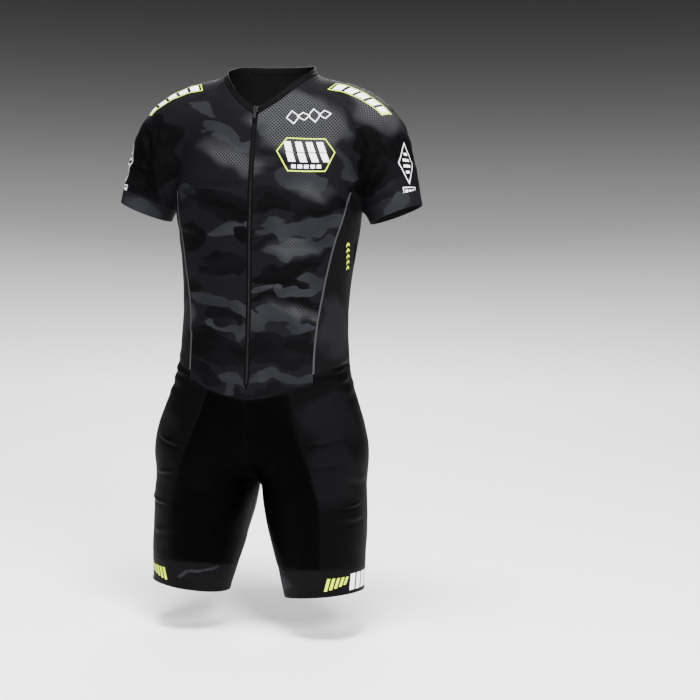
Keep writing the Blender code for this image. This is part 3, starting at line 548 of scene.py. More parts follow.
class CreaseField:
    """Height of the cloth over the form: creases placed one by one and a slow unevenness."""

    STOPS = 7                 # points that each crease is drawn through
    TROUGH = 0.6              # depth of the trough as a share of the ridge
    TROUGH_AT = 1.6           # where the trough lies, in widths of the ridge
    TROUGH_WIDTH = 1.3        # how wide it is, in the same
    ENDS = 0.7                # power by which a crease fades towards its ends
    STRENGTH = 2.9            # every crease's height is taken this many times
    SWAY = (                  # wave length along x, y, z and height of the slow waves
        (0.150, 0.170, 0.110, 0.00050),
        (0.083, 0.090, 0.061, 0.00030),
        (0.047, 0.052, 0.038, 0.00014),
    )

    def __init__(self, form: WornForm, rows: Iterable[Sequence[float]]) -> None:
        """Lays every crease of a table on the form as a short polyline."""
        self.lines = []
        t = np.linspace(0, 1, self.STOPS)[:, None]
        for crease in map(Crease.read, rows):
            start, end = np.array(crease.start), np.array(crease.end)
            line = form.settle((1 - t) * start + t * end, 4)
            along = unit(np.gradient(line, axis=0))
            down = unit(np.cross(along, form.normal(line)))
            down *= np.where(down[:, 2:] > 0, -1.0, 1.0)
            reach = np.linalg.norm(end - start)
            line = form.settle(line + down * (crease.bow * reach * 4 * t * (1 - t)), 3)
            self.lines.append((crease, line, down))

    def height(self, points: np.ndarray) -> np.ndarray:
        """How far the cloth stands off the form at each point.

        A crease adds h (e^-(s/w)^2 - T e^-((s - aw)/bw)^2), s being the distance across it,
        downwards, T the trough's depth, a its place and b its width, faded to both ends.
        """
        flat = points.reshape(-1, 3)
        total = self.sway(flat)
        for crease, line, down in self.lines:
            middle = 0.5 * (line[0] + line[-1])
            reach = 0.6 * np.linalg.norm(line[-1] - line[0]) + 5 * crease.width
            near = np.flatnonzero(((flat - middle) ** 2).sum(-1) < reach**2)
            if len(near):
                total[near] += self.ridge(flat[near], crease, line, down)
        return total.reshape(points.shape[:-1])

    def ridge(self, points: np.ndarray, crease: Crease, line: np.ndarray,
              down: np.ndarray) -> np.ndarray:
        """The height that one crease adds at points near it."""
        best = np.full(len(points), np.inf)
        across, share = np.zeros(len(points)), np.zeros(len(points))
        for k in range(len(line) - 1):
            run = line[k + 1] - line[k]
            t = np.clip((points - line[k]) @ run / (run @ run), 0, 1)
            away = points - (line[k] + t[:, None] * run)
            far = np.linalg.norm(away, axis=-1)
            closer = far < best
            best = np.where(closer, far, best)
            across = np.where(closer, np.sign(away @ down[k]) * far, across)
            share = np.where(closer, (k + t) / (len(line) - 1), share)
        fade = np.clip(4 * share * (1 - share), 0, 1) ** self.ENDS
        w = crease.width
        shape = np.exp(-(across / w) ** 2)
        trough = (across - self.TROUGH_AT * w) / (self.TROUGH_WIDTH * w)
        shape -= self.TROUGH * np.exp(-trough ** 2)
        return self.STRENGTH * crease.height * fade * shape

    def sway(self, points: np.ndarray) -> np.ndarray:
        """A slow unevenness: a few sums of sines that don't repeat over the suit."""
        x, y, z = points.T
        total = np.zeros(len(points))
        for k, (lx, ly, lz, height) in enumerate(self.SWAY):
            phase = 1.7 * k
            total += height * (np.sin(2 * np.pi * x / lx + phase + 1.3 * np.sin(9 * z))
                               * np.sin(2 * np.pi * z / lz + 2.1 * phase)
                               + 0.6 * np.sin(2 * np.pi * (y / ly + z / (2.3 * lz)) + phase))
        return total


# ---- Printed patterns ---------------------------------------------------------------
# Soft-edged patches of the camouflage, and of the open mesh with its pale yarn, which is partly
# painted sheen.
# Each row: middle x, y, z, half width and half height in millimetres, then the lean, which
# is the rise of the patch's long axis towards +X.
LIGHT_PATCHES = (
    (-58, -87, -79, 55, 14, -0.4), (-11, -96, -96, 22, 10, -0.1), (-98, -60, -38, 30, 12, -0.2),
    (16, -89, -66, 22, 22, 0), (139, -56, -87, 38, 20, -0.55), (147, -48, -129, 18, 30, 0),
    (86, -93, -155, 48, 19, -0.2), (-128, -72, -179, 34, 12, 0), (-38, -107, -239, 40, 12, 0.2),
    (99, -91, -231, 72, 14, 0.14), (31, -108, -249, 28, 7, -0.1), (80, -97, -271, 48, 17, 0.1),
    (111, -82, -263, 28, 16, 0), (84, -94, -331, 44, 21, 0.2), (27, -107, -338, 28, 9, 0),
    (-61, -102, -357, 52, 12, -0.14), (-41, -107, -403, 34, 16, -0.28),
    (-6, -109, -381, 17, 33, 0), (40, -107, -388, 42, 24, 0), (89, -93, -387, 26, 21, 0),
    (-26, -114, -484, 32, 12, -0.1), (-37, -115, -505, 14, 10, 0.6), (59, -110, -481, 56, 12, 0),
    # The back.
    (95, 80, -6, 50, 12, 0.15), (70, 106, -110, 60, 26, 0.25), (-72, 108, -108, 88, 22, -0.08),
    (-54, 110, -176, 52, 24, -0.2), (42, 104, -270, 72, 11, 0.05), (-72, 96, -260, 55, 11, 0.08),
    (-70, 90, -292, 50, 13, 0.05), (78, 68, -380, 44, 13, 0.05), (-16, 80, -408, 56, 13, 0),
    (6, 88, -494, 62, 16, 0.1), (-60, 80, -500, 22, 10, 0.4), (10, 108, 0, 30, 9, -0.3),
    # The sleeves, the hamstring insets and the leg bands.
    (233, -53, -194, 34, 16, 0.4), (154, -33, -13, 18, 12, -0.4), (-208, -34, -51, 22, 12, 0),
    (-216, -55, -208, 40, 12, -0.4), (-206, 46, -60, 40, 36, 0.3), (-244, 30, -120, 34, 24, 0.3),
    (215, 44, -72, 44, 20, -0.3), (240, 36, -160, 36, 18, -0.2), (130, 52, -690, 28, 14, 0.1),
    (-130, 52, -676, 26, 12, -0.1), (132, 46, -764, 36, 12, 0), (-128, 46, -772, 34, 13, -0.15),
    (-136, 50, -726, 20, 10, 0), (-95, -100, -816, 28, 7, 0), (60, -92, -824, 28, 8, 0),
    (90, 42, -822, 36, 10, 0), (-110, 40, -826, 36, 10, 0),
)
DARK_PATCHES = (
    (-50, -106, -191, 72, 16, -0.14), (83, -98, -193, 80, 21, -0.05),
    (-6, -109, -243, 18, 14, 0.18), (-110, -83, -260, 36, 24, 0), (25, -108, -262, 26, 12, 0),
    (83, -95, -294, 58, 14, 0.38), (32, -107, -317, 34, 14, 0), (-43, -106, -294, 45, 17, 0),
    (-103, -84, -336, 22, 10, 0), (76, -97, -356, 50, 10, -0.07), (101, -86, -367, 18, 14, 0),
    (-55, -104, -383, 39, 12, -0.1), (95, -89, -387, 15, 6, 0), (-53, -107, -433, 58, 29, -0.1),
    (62, -105, -433, 60, 31, 0), (57, -105, -407, 24, 15, 0), (-80, -104, -480, 34, 21, -0.36),
    (49, -114, -507, 48, 9, 0), (-16, -117, -512, 20, 10, 0),
    # The back.
    (-72, 108, -180, 28, 8, -0.2), (30, 114, -212, 110, 36, 0.05), (-100, 90, -222, 50, 14, 0),
    (58, 98, -298, 75, 14, 0.04), (10, 92, -338, 120, 10, 0), (70, 70, -400, 36, 8, 0.05),
    (12, 82, -444, 95, 18, 0.06), (70, 78, -486, 18, 20, 0), (90, 98, -52, 50, 12, 0.2),
    (-10, 108, -44, 55, 13, -0.15), (-110, 80, -352, 30, 12, 0.1),
    # The sleeves, the hamstring insets and the leg bands.
    (180, -58, -110, 34, 50, 0), (200, -50, -150, 40, 28, 0.3), (-190, -56, -100, 50, 60, 0),
    (-215, -50, -160, 44, 30, -0.3), (-220, 46, -176, 60, 28, -0.2), (200, 52, -120, 50, 24, 0.2),
    (-246, -20, -90, 34, 40, 0), (246, -20, -100, 34, 24, 0), (124, 68, -650, 34, 14, 0.3),
    (-122, 64, -645, 32, 12, -0.3), (126, 52, -728, 36, 12, -0.1), (-110, 54, -750, 26, 10, 0),
    (130, -96, -838, 40, 14, 0), (-120, -96, -842, 46, 14, 0), (120, 30, -846, 44, 12, 0),
    (-100, 32, -850, 40, 10, 0),
)
DEEP_PATCHES = (
    (-63, -104, -203, 36, 9, -0.1), (113, -83, -208, 35, 7, 0.14), (60, -102, -326, 32, 7, -0.05),
    (-56, -103, -311, 40, 7, 0), (34, -108, -197, 28, 14, 0), (-13, -112, -439, 26, 10, 0),
    (86, -97, -428, 28, 12, 0), (-20, -100, -214, 20, 10, 0), (96, -88, -300, 34, 7, 0.4),
    (-90, -92, -440, 30, 11, -0.1), (30, 114, -226, 70, 16, 0), (60, 96, -306, 36, 7, 0),
    (30, 80, -452, 45, 8, 0.06), (-190, -54, -135, 34, 30, 0), (186, -50, -140, 26, 30, 0),
    (-228, 44, -190, 40, 14, -0.2), (206, -50, -96, 40, 22, -0.3), (-212, -50, -100, 44, 26, 0.2),
)
MESH_AND_SHEEN_PATCHES = (
    # Where the open mesh shows its pale yarn: partly the mesh's own look, partly painted sheen.
    (75, -86, -62, 85, 62, -0.2), (-40, -100, -118, 60, 26, -0.25), (185, -20, -36, 45, 40, -0.5),
    (70, -98, -268, 42, 14, 0), (82, -95, -372, 45, 15, -0.2), (138, -52, -405, 40, 60, 0),
    (102, -88, -172, 34, 14, -0.3), (-60, 105, -70, 75, 60, 0.1), (60, 105, -40, 50, 34, 0),
    (150, -96, -545, 60, 60, 0.1), (150, -100, -640, 50, 60, 0), (-150, -90, -555, 40, 26, 0),
    (-160, 40, -560, 50, 50, 0), (160, 40, -580, 50, 50, 0), (-190, 20, -50, 45, 40, 0.4),
    (-128, -66, -390, 30, 40, 0),
)


class Pattern:
    """Fields that the cloth's shaders cut into patches, in metres above zero inside."""

    FIELDS = {"light": LIGHT_PATCHES, "dark": DARK_PATCHES, "deep": DEEP_PATCHES,
              "mesh": MESH_AND_SHEEN_PATCHES}
    FAR = -0.03
    # Bends of the patches: wave lengths along x and z, then shifts along x and z.
    BENDS = ((0.120, 0.061, 0.008, 0.0045), (0.067, 0.089, 0.005, 0.0035),
             (0.035, 0.043, 0.003, 0.0014))

    @classmethod
    def bend(cls, points: np.ndarray) -> np.ndarray:
        """Points shifted by a few crossing sine waves, so that no patch stays an ellipse."""
        x, y, z = (points[..., axis] for axis in range(3))
        moved = points.copy()
        for k, (wide, high, across, up) in enumerate(cls.BENDS):
            level = 2 * np.pi * (x + 0.7 * y) / wide
            rise = 2 * np.pi * z / high
            moved[..., 0] += across * np.sin(rise + 1.9 * k + 1.2 * np.sin(level))
            moved[..., 2] += up * np.sin(level + 2.3 * k + 0.9 * np.sin(rise + k))
        return moved

    @staticmethod
    def field(points: np.ndarray, rows: Iterable[Sequence[float]]) -> np.ndarray:
        """The highest of (1 - r) b over a table's patches, r^2 = (h/a)^2 + (v/b)^2.

        h runs along the cloth's level line and v up it, less the patch's lean; a and b are
        the half width and the half height.
        """
        best = np.full(points.shape[:-1], Pattern.FAR)
        for x, y, z, wide, high, lean in rows:
            away = points - np.array((x, y, z)) / 1000
            level = np.sqrt(away[..., 0] ** 2 + away[..., 1] ** 2)
            rise = away[..., 2] - lean * away[..., 0]
            ratio = np.sqrt((level / (wide / 1000)) ** 2 + (rise / (high / 1000)) ** 2)
            best = np.maximum(best, (1 - ratio) * (high / 1000))
        return best


# ---- Shaders ------------------------------------------------------------------------
Value = Union["Sock", float, int]


class Sock:
    """A node's output that can be added, multiplied and compared in plain Python."""

    def __init__(self, graph: "ShaderGraph", link: bpy.types.NodeSocket) -> None:
        """Wraps one output socket of a graph."""
        self.graph, self.link = graph, link

    def __add__(self, other: Value) -> "Sock":
        """Sum."""
        return self.graph.maths("ADD", self, other)

    def __sub__(self, other: Value) -> "Sock":
        """Difference."""
        return self.graph.maths("SUBTRACT", self, other)

    def __rsub__(self, other: Value) -> "Sock":
        """Difference from a number on the left."""
        return self.graph.maths("SUBTRACT", other, self)

    def __mul__(self, other: Value) -> "Sock":
        """Product."""
        return self.graph.maths("MULTIPLY", self, other)

    __radd__, __rmul__ = __add__, __mul__

    def __truediv__(self, other: Value) -> "Sock":
        """Quotient."""
        return self.graph.maths("DIVIDE", self, other)

    def sine(self) -> "Sock":
        """Sine of the value in radians."""
        return self.graph.maths("SINE", self)

    def size(self) -> "Sock":
        """The value without its sign."""
        return self.graph.maths("ABSOLUTE", self)

    def over(self, edge: float, softness: float) -> "Sock":
        """0 below the edge, 1 above it, smooth over a softness on both sides."""
        out = self.graph.node("ShaderNodeMapRange", {"interpolation_type": "SMOOTHSTEP"},
                              {"Value": self, "From Min": edge - softness,
                               "From Max": edge + softness, "To Min": 0.0, "To Max": 1.0})
        return out["Result"]


class ShaderGraph:
    """One material's nodes, made from values and formulas."""

    def __init__(self, name: str) -> None:
        """Starts a material with only its output node."""
        self.material = bpy.data.materials.new(name)
        self.material.use_nodes = True
        self.tree = self.material.node_tree
        self.tree.nodes.clear()
        self.output = self.tree.nodes.new("ShaderNodeOutputMaterial")

    def node(self, kind: str, settings: Optional[dict] = None,
             sockets: Optional[dict] = None) -> dict[str, Sock]:
        """Adds a node: its settings first, then each socket's value or link.

        Args:
            kind: the node's type name.
            settings: attributes of the node.
            sockets: input name or number to a Sock or a plain value.
        Returns:
            The outputs that are on, by name.
        """
        made = self.tree.nodes.new(kind)
        for key, value in (settings or {}).items():
            setattr(made, key, value)
        for key, value in (sockets or {}).items():
            if isinstance(value, Sock):
                self.tree.links.new(value.link, made.inputs[key])
            else:
                made.inputs[key].default_value = value
        return {out.name: Sock(self, out) for out in made.outputs if out.enabled}

    def maths(self, operation: str, *values: Value) -> Sock:
        """One maths node over numbers and sockets."""
        return self.node("ShaderNodeMath", {"operation": operation},
                         dict(enumerate(values)))["Value"]

    def attribute(self, name: str) -> Sock:
        """A point attribute of the mesh, as a number."""
        return self.node("ShaderNodeAttribute", {"attribute_name": name})["Fac"]

    def split(self, vector: Sock) -> tuple[Sock, Sock, Sock]:
        """The three parts of a vector."""
        parts = self.node("ShaderNodeSeparateXYZ", None, {"Vector": vector})
        return parts["X"], parts["Y"], parts["Z"]

    def join(self, x: Value, y: Value, z: Value) -> Sock:
        """A vector of three parts."""
        return self.node("ShaderNodeCombineXYZ", None, {"X": x, "Y": y, "Z": z})["Vector"]

    def place(self) -> Sock:
        """Object coordinates, which are metres in the suit's frame."""
        return self.node("ShaderNodeTexCoord")["Object"]

    def cloth(self) -> tuple[Sock, Sock]:
        """The piece's own coordinates, metres across and along the cloth."""
        across, along, _ = self.split(self.node("ShaderNodeUVMap", {"uv_map": "cloth"})["UV"])
        return across, along

    def noise(self, at: Sock, scale: float, rough: float = 0.5) -> Sock:
        """Noise between about -0.5 and 0.5."""
        out = self.node("ShaderNodeTexNoise", None,
                        {"Vector": at, "Scale": scale, "Detail": 2.0, "Roughness": rough})
        return out["Fac"] - 0.5

    def blend(self, share: Value, low: Union[Sock, tuple], high: Union[Sock, tuple]) -> Sock:
        """A colour between two, by a share."""
        made = self.node("ShaderNodeMix", {"data_type": "RGBA"},
                         {0: share, 6: self.opaque(low), 7: self.opaque(high)})
        return made["Result"]

    @staticmethod
    def opaque(colour: Union[Sock, tuple]) -> Union[Sock, tuple]:
        """A colour as a socket takes it: a link as it is, three numbers with an alpha of 1."""
        return colour if isinstance(colour, Sock) else (*colour, 1.0)

    def finish(self, base: Union[Sock, tuple], roughness: Value, height: Optional[Sock] = None,
               depth: float = 0.0004, **constants: float) -> bpy.types.Material:
        """Ends the material in a Principled shader.

        Args:
            base: the colour or its socket.
            roughness: the roughness or its socket.
            height: relief for the bump, 0 to 1.
            depth: how deep a relief of 1 is, in metres.
            constants: values of other sockets, with spaces written as underscores.
        Returns:
            The material.
        """
        sockets: dict = {"Base Color": self.opaque(base), "Roughness": roughness}
        sockets.update({key.replace("_", " "): value for key, value in constants.items()})
        if height is not None:
            bump = self.node("ShaderNodeBump", None, {"Height": height, "Distance": depth})
            sockets["Normal"] = bump["Normal"]
        shader = self.node("ShaderNodeBsdfPrincipled", None, sockets)
        self.tree.links.new(shader["BSDF"].link, self.output.inputs["Surface"])
        return self.material


class Tone(Enum):
    """Colours of the suit, linear."""

    DEEP = (0.0004, 0.0004, 0.0005)
    DARK = (0.0006, 0.0006, 0.0008)
    GREY = (0.0034, 0.0034, 0.0043)
    LIGHT = (0.0130, 0.0134, 0.0165)
    BLACK = (0.0002, 0.0002, 0.0003)
    THIGH = (0.0005, 0.0005, 0.0007)
    BAND = (0.0010, 0.0010, 0.0013)
    LINING = (0.0048, 0.0048, 0.0048)
    TAPE = (0.0330, 0.0335, 0.0370)
    THREAD = (0.0014, 0.0014, 0.0017)
    # Pale yarn of the camouflage knit's mesh: the yarn's own tone and painted sheen.
    YARN_AND_SHEEN = (0.0480, 0.0485, 0.0520)
    MID_YARN = (0.0150, 0.0150, 0.0170)
    DIM_YARN = (0.0055, 0.0055, 0.0064)
    WHITE = (0.8600, 0.8700, 0.9000)
    LIME = (0.5800, 0.7600, 0.0180)


@dataclass(frozen=True)
class KnitFinish:
    """Looks of one cloth.

    Attributes:
        name: the material's name.
        base: its ground colour.
        camouflage: whether the camouflage patches are printed on it.
        mesh: how strongly the open mesh shows, 0 for a plain knit.
        everywhere: how much the mesh shows all over, and not only in its listed patches.
        yarn: colour of the mesh between its holes; the camouflage knit's pale one is partly
            painted sheen.
        gloss: how strongly the yarn reflects.
        roughness: of the yarn.
    """

    name: str
    base: Tone
    camouflage: bool = False
    mesh: float = 0.0
    everywhere: float = 0.0
    yarn: Tone = Tone.YARN_AND_SHEEN
    gloss: float = 0.05
    roughness: float = 0.62

    RIB = 0.0011              # pitch of the knit's wales
    COURSE = 1.3 * RIB        # pitch of its courses
    RELIEF = 0.00022          # depth of the knit
    MESH_PITCH = 0.0058       # width of the mesh's diamond cells
    HOLE_FROM, HOLE_SOFT = 0.50, 0.16       # where a cell's hole begins, and its softness
    # The mesh and its painted sheen fade in over these, inside a patch.
    TIGHT_FROM, TIGHT_SOFT = 0.008, 0.014   # how far inside a patch the mesh opens
    EDGE = 0.0006             # softness of a patch's edge
    WAVE = 0.0185             # how far noise moves a patch's edge
    SMALL_WAVE = 0.36 * WAVE  # how far finer noise moves it
    STRETCH = 3.3             # how much longer the noise is along the cloth than up it
    FADE = 0.55               # a patch's weakest tone as a share of its full one
    HEM_LINE, HEM_SOFT = 0.0245, 0.0004     # where a turned hem ends, and its softness
    HEM_PALE = 0.22           # how far a turned hem goes towards the light tone
    YARN_SHOWS = 0.75         # how far the mesh goes towards its yarn's colour
    HOLE_DEPTH = 2.2          # of the mesh's holes, as a share of the relief
    # Scales of the noises: clouds in a patch, waves of its edge, and the yarn's mottle.
    CLOUD_SCALE, WAVE_SCALE, SMALL_SCALE, MOTTLE_SCALE = 13.0, 12.0, 38.0, 260.0
    CLOUD_SOFT = 0.16
    # A patch's field, its tone, and how far and to which side the noise moves its edge.
    LAYERS = (("light", Tone.LIGHT, 1.0), ("dark", Tone.DARK, -0.8), ("deep", Tone.DEEP, 0.9))

    def build(self) -> bpy.types.Material:
        """Makes the cloth's material."""
        graph = ShaderGraph(self.name)
        place = graph.place()
        across, along = graph.cloth()
        colour: Union[Sock, tuple] = self.base.value
        if self.camouflage:
            cloud = graph.noise(place, self.CLOUD_SCALE).over(0.0, self.CLOUD_SOFT)
            x, y, z = graph.split(place)
            stretched = graph.join(x, y, z * self.STRETCH)
            wave = graph.noise(stretched, self.WAVE_SCALE)
            small = graph.noise(stretched, self.SMALL_SCALE)
            for name, tone, push in self.LAYERS:
                edge = (graph.attribute(name) + wave * (self.WAVE * push)
                        + small * self.SMALL_WAVE)
                share = edge.over(0.0, self.EDGE) * (self.FADE + (1 - self.FADE) * cloud)
                colour = graph.blend(share, colour, tone.value)
            turned_up = 1 - graph.attribute("hem").over(self.HEM_LINE, self.HEM_SOFT)
            colour = graph.blend(turned_up * self.HEM_PALE, colour, Tone.LIGHT.value)
        # Wales: fine ridges along the cloth, broken by the courses across it.
        wales = (across * (2 * np.pi / self.RIB)).sine()
        courses = (along * (2 * np.pi / self.COURSE)).sine()
        relief = 0.5 + 0.32 * wales + 0.18 * courses
        if self.mesh > 0:
            k = np.pi / self.MESH_PITCH
            first = ((across + along) * k).sine()
            second = ((across - along) * k).sine()
            hole = (first * second).size().over(self.HOLE_FROM, self.HOLE_SOFT)
            # Open mesh with painted sheen: the pale yarn shows the most inside the listed patches.
            mesh_and_sheen = graph.attribute("mesh").over(self.TIGHT_FROM, self.TIGHT_SOFT)
            shown = (mesh_and_sheen * (1 - self.everywhere) + self.everywhere) * self.mesh
            colour = graph.blend(shown * self.YARN_SHOWS, colour, self.yarn.value)
            colour = graph.blend(shown * hole, colour, Tone.DEEP.value)
            relief = relief - self.HOLE_DEPTH * (shown * hole)
        rough = self.roughness + 0.10 * graph.noise(place, self.MOTTLE_SCALE, rough=0.6)
        return graph.finish(colour, rough, relief, self.RELIEF, Specular_IOR_Level=self.gloss)


@dataclass(frozen=True)
class PlainFinish:
    """A trim, thread, ink or metal: one colour with a fine grain."""

    name: str
    colour: Union[Tone, Point]
    roughness: float
    metallic: float = 0.0
    gloss: float = 0.10
    grain: float = 900.0
    depth: float = 0.00005
    coat: float = 0.0

    def build(self) -> bpy.types.Material:
        """Makes the material."""
        graph = ShaderGraph(self.name)
        place = graph.place()
        grain = graph.noise(place, self.grain)
        base = self.colour.value if isinstance(self.colour, Tone) else self.colour
        rough = self.roughness + grain * 0.12
        return graph.finish(base, rough, grain + 0.5, self.depth, Metallic=self.metallic,
                            Specular_IOR_Level=self.gloss, Coat_Weight=self.coat,
                            Coat_Roughness=0.2)


@dataclass(frozen=True)
class RibbedFinish:
    """A woven tape or folded binding: ribs across its length, with painted shade in their grooves.
    """

    name: str
    colour: Tone
    pitch: float
    roughness: float = 0.6

    def build(self) -> bpy.types.Material:
        """Makes the material."""
        graph = ShaderGraph(self.name)
        across, along = graph.cloth()
        ribs = (along * (2 * np.pi / self.pitch)).sine()
        weave = (across * (2 * np.pi / (0.8 * self.pitch))).sine()
        # Painted shade: the colour is darker in the ribs' grooves, where the bump is low.
        shade = 0.90 + 0.10 * ribs
        base = np.array(self.colour.value)
        colour = graph.blend(shade, tuple(0.6 * base), tuple(base))
        return graph.finish(colour, self.roughness, 0.5 + 0.3 * ribs + 0.2 * weave, 0.0002,
                            Specular_IOR_Level=0.04)


class Wardrobe:
    """Every material of the suit, made once and shared."""

    FINISHES = (
        KnitFinish("camouflage_knit", Tone.GREY, camouflage=True, mesh=0.95, gloss=0.028),
        KnitFinish("black_knit", Tone.BLACK, gloss=0.014, roughness=0.46),
        KnitFinish("side_mesh", Tone.DARK, gloss=0.04, mesh=0.8, everywhere=0.10,
                   yarn=Tone.MID_YARN),
        KnitFinish("thigh_mesh", Tone.THIGH, mesh=0.7, everywhere=0.10,
                   yarn=Tone.DIM_YARN, gloss=0.022, roughness=0.58),
        KnitFinish("leg_band", Tone.BAND, camouflage=True),
        PlainFinish("lining", Tone.LINING, 0.85),
        RibbedFinish("seam_tape", Tone.TAPE, 0.0009),
        RibbedFinish("neck_binding", Tone.BLACK, 0.0010),
        RibbedFinish("zip_tape", Tone.DEEP, 0.0012),
        PlainFinish("zip_coil", (0.0035, 0.0035, 0.0045), 0.42),
        PlainFinish("zip_metal", (0.030, 0.030, 0.032), 0.30, metallic=0.9, coat=0.3),
        PlainFinish("thread", Tone.THREAD, 0.7),
        PlainFinish("white_ink", Tone.WHITE, 0.45, depth=0.00003),
        PlainFinish("lime_ink", Tone.LIME, 0.45, depth=0.00003),
    )

    def __init__(self) -> None:
        """Builds all the finishes."""
        self.made = {finish.name: finish.build() for finish in self.FINISHES}

    def __getitem__(self, name: str) -> bpy.types.Material:
        """The material of a name."""
        return self.made[name]


# ---- Cloth pieces -------------------------------------------------------------------
@dataclass(frozen=True)
class Cut:
    """The flat cut of a piece, in metres and square metres."""

    width: float
    length: float
    area: float


@dataclass
class ClothPiece:
    """One cut piece, laid out on the form.

    Attributes:
        name: the CAD node that it stands for.
        grid: its points, rows down the cloth and columns across.
        finish: its material.
        node_slot: the record's slot for it; not used.
        sewn: its sewn edges out of t, b, l and r.
        wrapped: the last column is the first again.
        wall: how thick the cloth is.
        lift: how far its middle lies above the form.
        bulge: how much further the middle of its width stands out.
        anchor: the column from which the knit is measured.
        hem: its lower end is turned up.
        wales: direction that its knit runs in; a trim without one runs with its grid.
    """

    name: str
    grid: Grid
    finish: str
    node_slot: str
    sewn: str = ""
    wrapped: bool = False
    wall: float = 0.0013
    lift: float = 0.0
    bulge: float = 0.0
    anchor: int = 0
    hem: bool = False
    wales: Optional[Point] = (0.0, 0.0, -1.0)


def positions(cells: int) -> np.ndarray:
    """Shares from 0 to 1 in equal cells, the first and last split at 0.4."""
    return np.concatenate([[0, 0.4], np.arange(1, cells), [cells - 0.4, cells]]) / cells


def read_edge(edge: np.ndarray, shares: np.ndarray) -> np.ndarray:
    """An edge's points at shares of its count."""
    return read_line(edge, np.linspace(0, 1, len(edge)), shares)


def run_along(grid: Grid, axis: int) -> np.ndarray:
    """Length run along one axis of a grid, from 0 in its first row or column."""
    steps = np.linalg.norm(np.diff(grid, axis=axis), axis=-1)
    shape = list(grid.shape[:2])
    shape[axis] = 1
    return np.concatenate([np.zeros(shape), np.cumsum(steps, axis=axis)], axis=axis)


def knit_directions(grid: Grid, normals: Grid, down: np.ndarray, anchor: int) -> Grid:
    """The cloth's own coordinates, its wales running with a direction.

    Args:
        grid: the piece's points.
        normals: outward directions there.
        down: the direction that the wales follow.
        anchor: the column whose points are read first; rows are read away from it.
    Returns:
        Metres across and along the cloth at every point.
    """
    level = unit(np.cross(normals, down))
    parts = []
    for way in (level, np.cross(level, normals)):
        mean = (way[1:, anchor] + way[:-1, anchor]) / 2
        steps = (np.diff(grid[:, anchor], axis=0) * mean).sum(-1)
        start = np.concatenate([[0], np.cumsum(steps)])
        steps = (np.diff(grid, axis=1) * (way[:, 1:] + way[:, :-1])).sum(-1) / 2
        across = np.concatenate([np.zeros((len(grid), 1)), np.cumsum(steps, axis=1)], axis=1)
        parts.append(start[:, None] + across - across[:, anchor, None])
    return np.stack(parts, axis=-1)


def mirror(grid: Grid) -> Grid:
    """The wearer's right copy of a left piece."""
    return grid * np.array([-1, 1, 1])


def mirror_join(grid: Grid) -> Grid:
    """A half piece and its mirror as one grid, meeting in its first column."""
    return np.concatenate([mirror(grid[:, :0:-1]), grid], axis=1)


def at_distance(grid: Grid, distance: float) -> np.ndarray:
    """The line at a distance from a grid's last row, measured along its columns."""
    down = run_along(grid, 0)
    left = down[-1:] - down
    row = np.clip((left > distance).sum(axis=0), 1, len(grid) - 1)
    columns = np.arange(grid.shape[1])
    above, below = left[row - 1, columns], left[row, columns]
    share = np.clip((above - distance) / np.maximum(above - below, 1e-9), 0, 1)[:, None]
    return grid[row - 1, columns] * (1 - share) + grid[row, columns] * share


Edge = Union[str, np.ndarray]


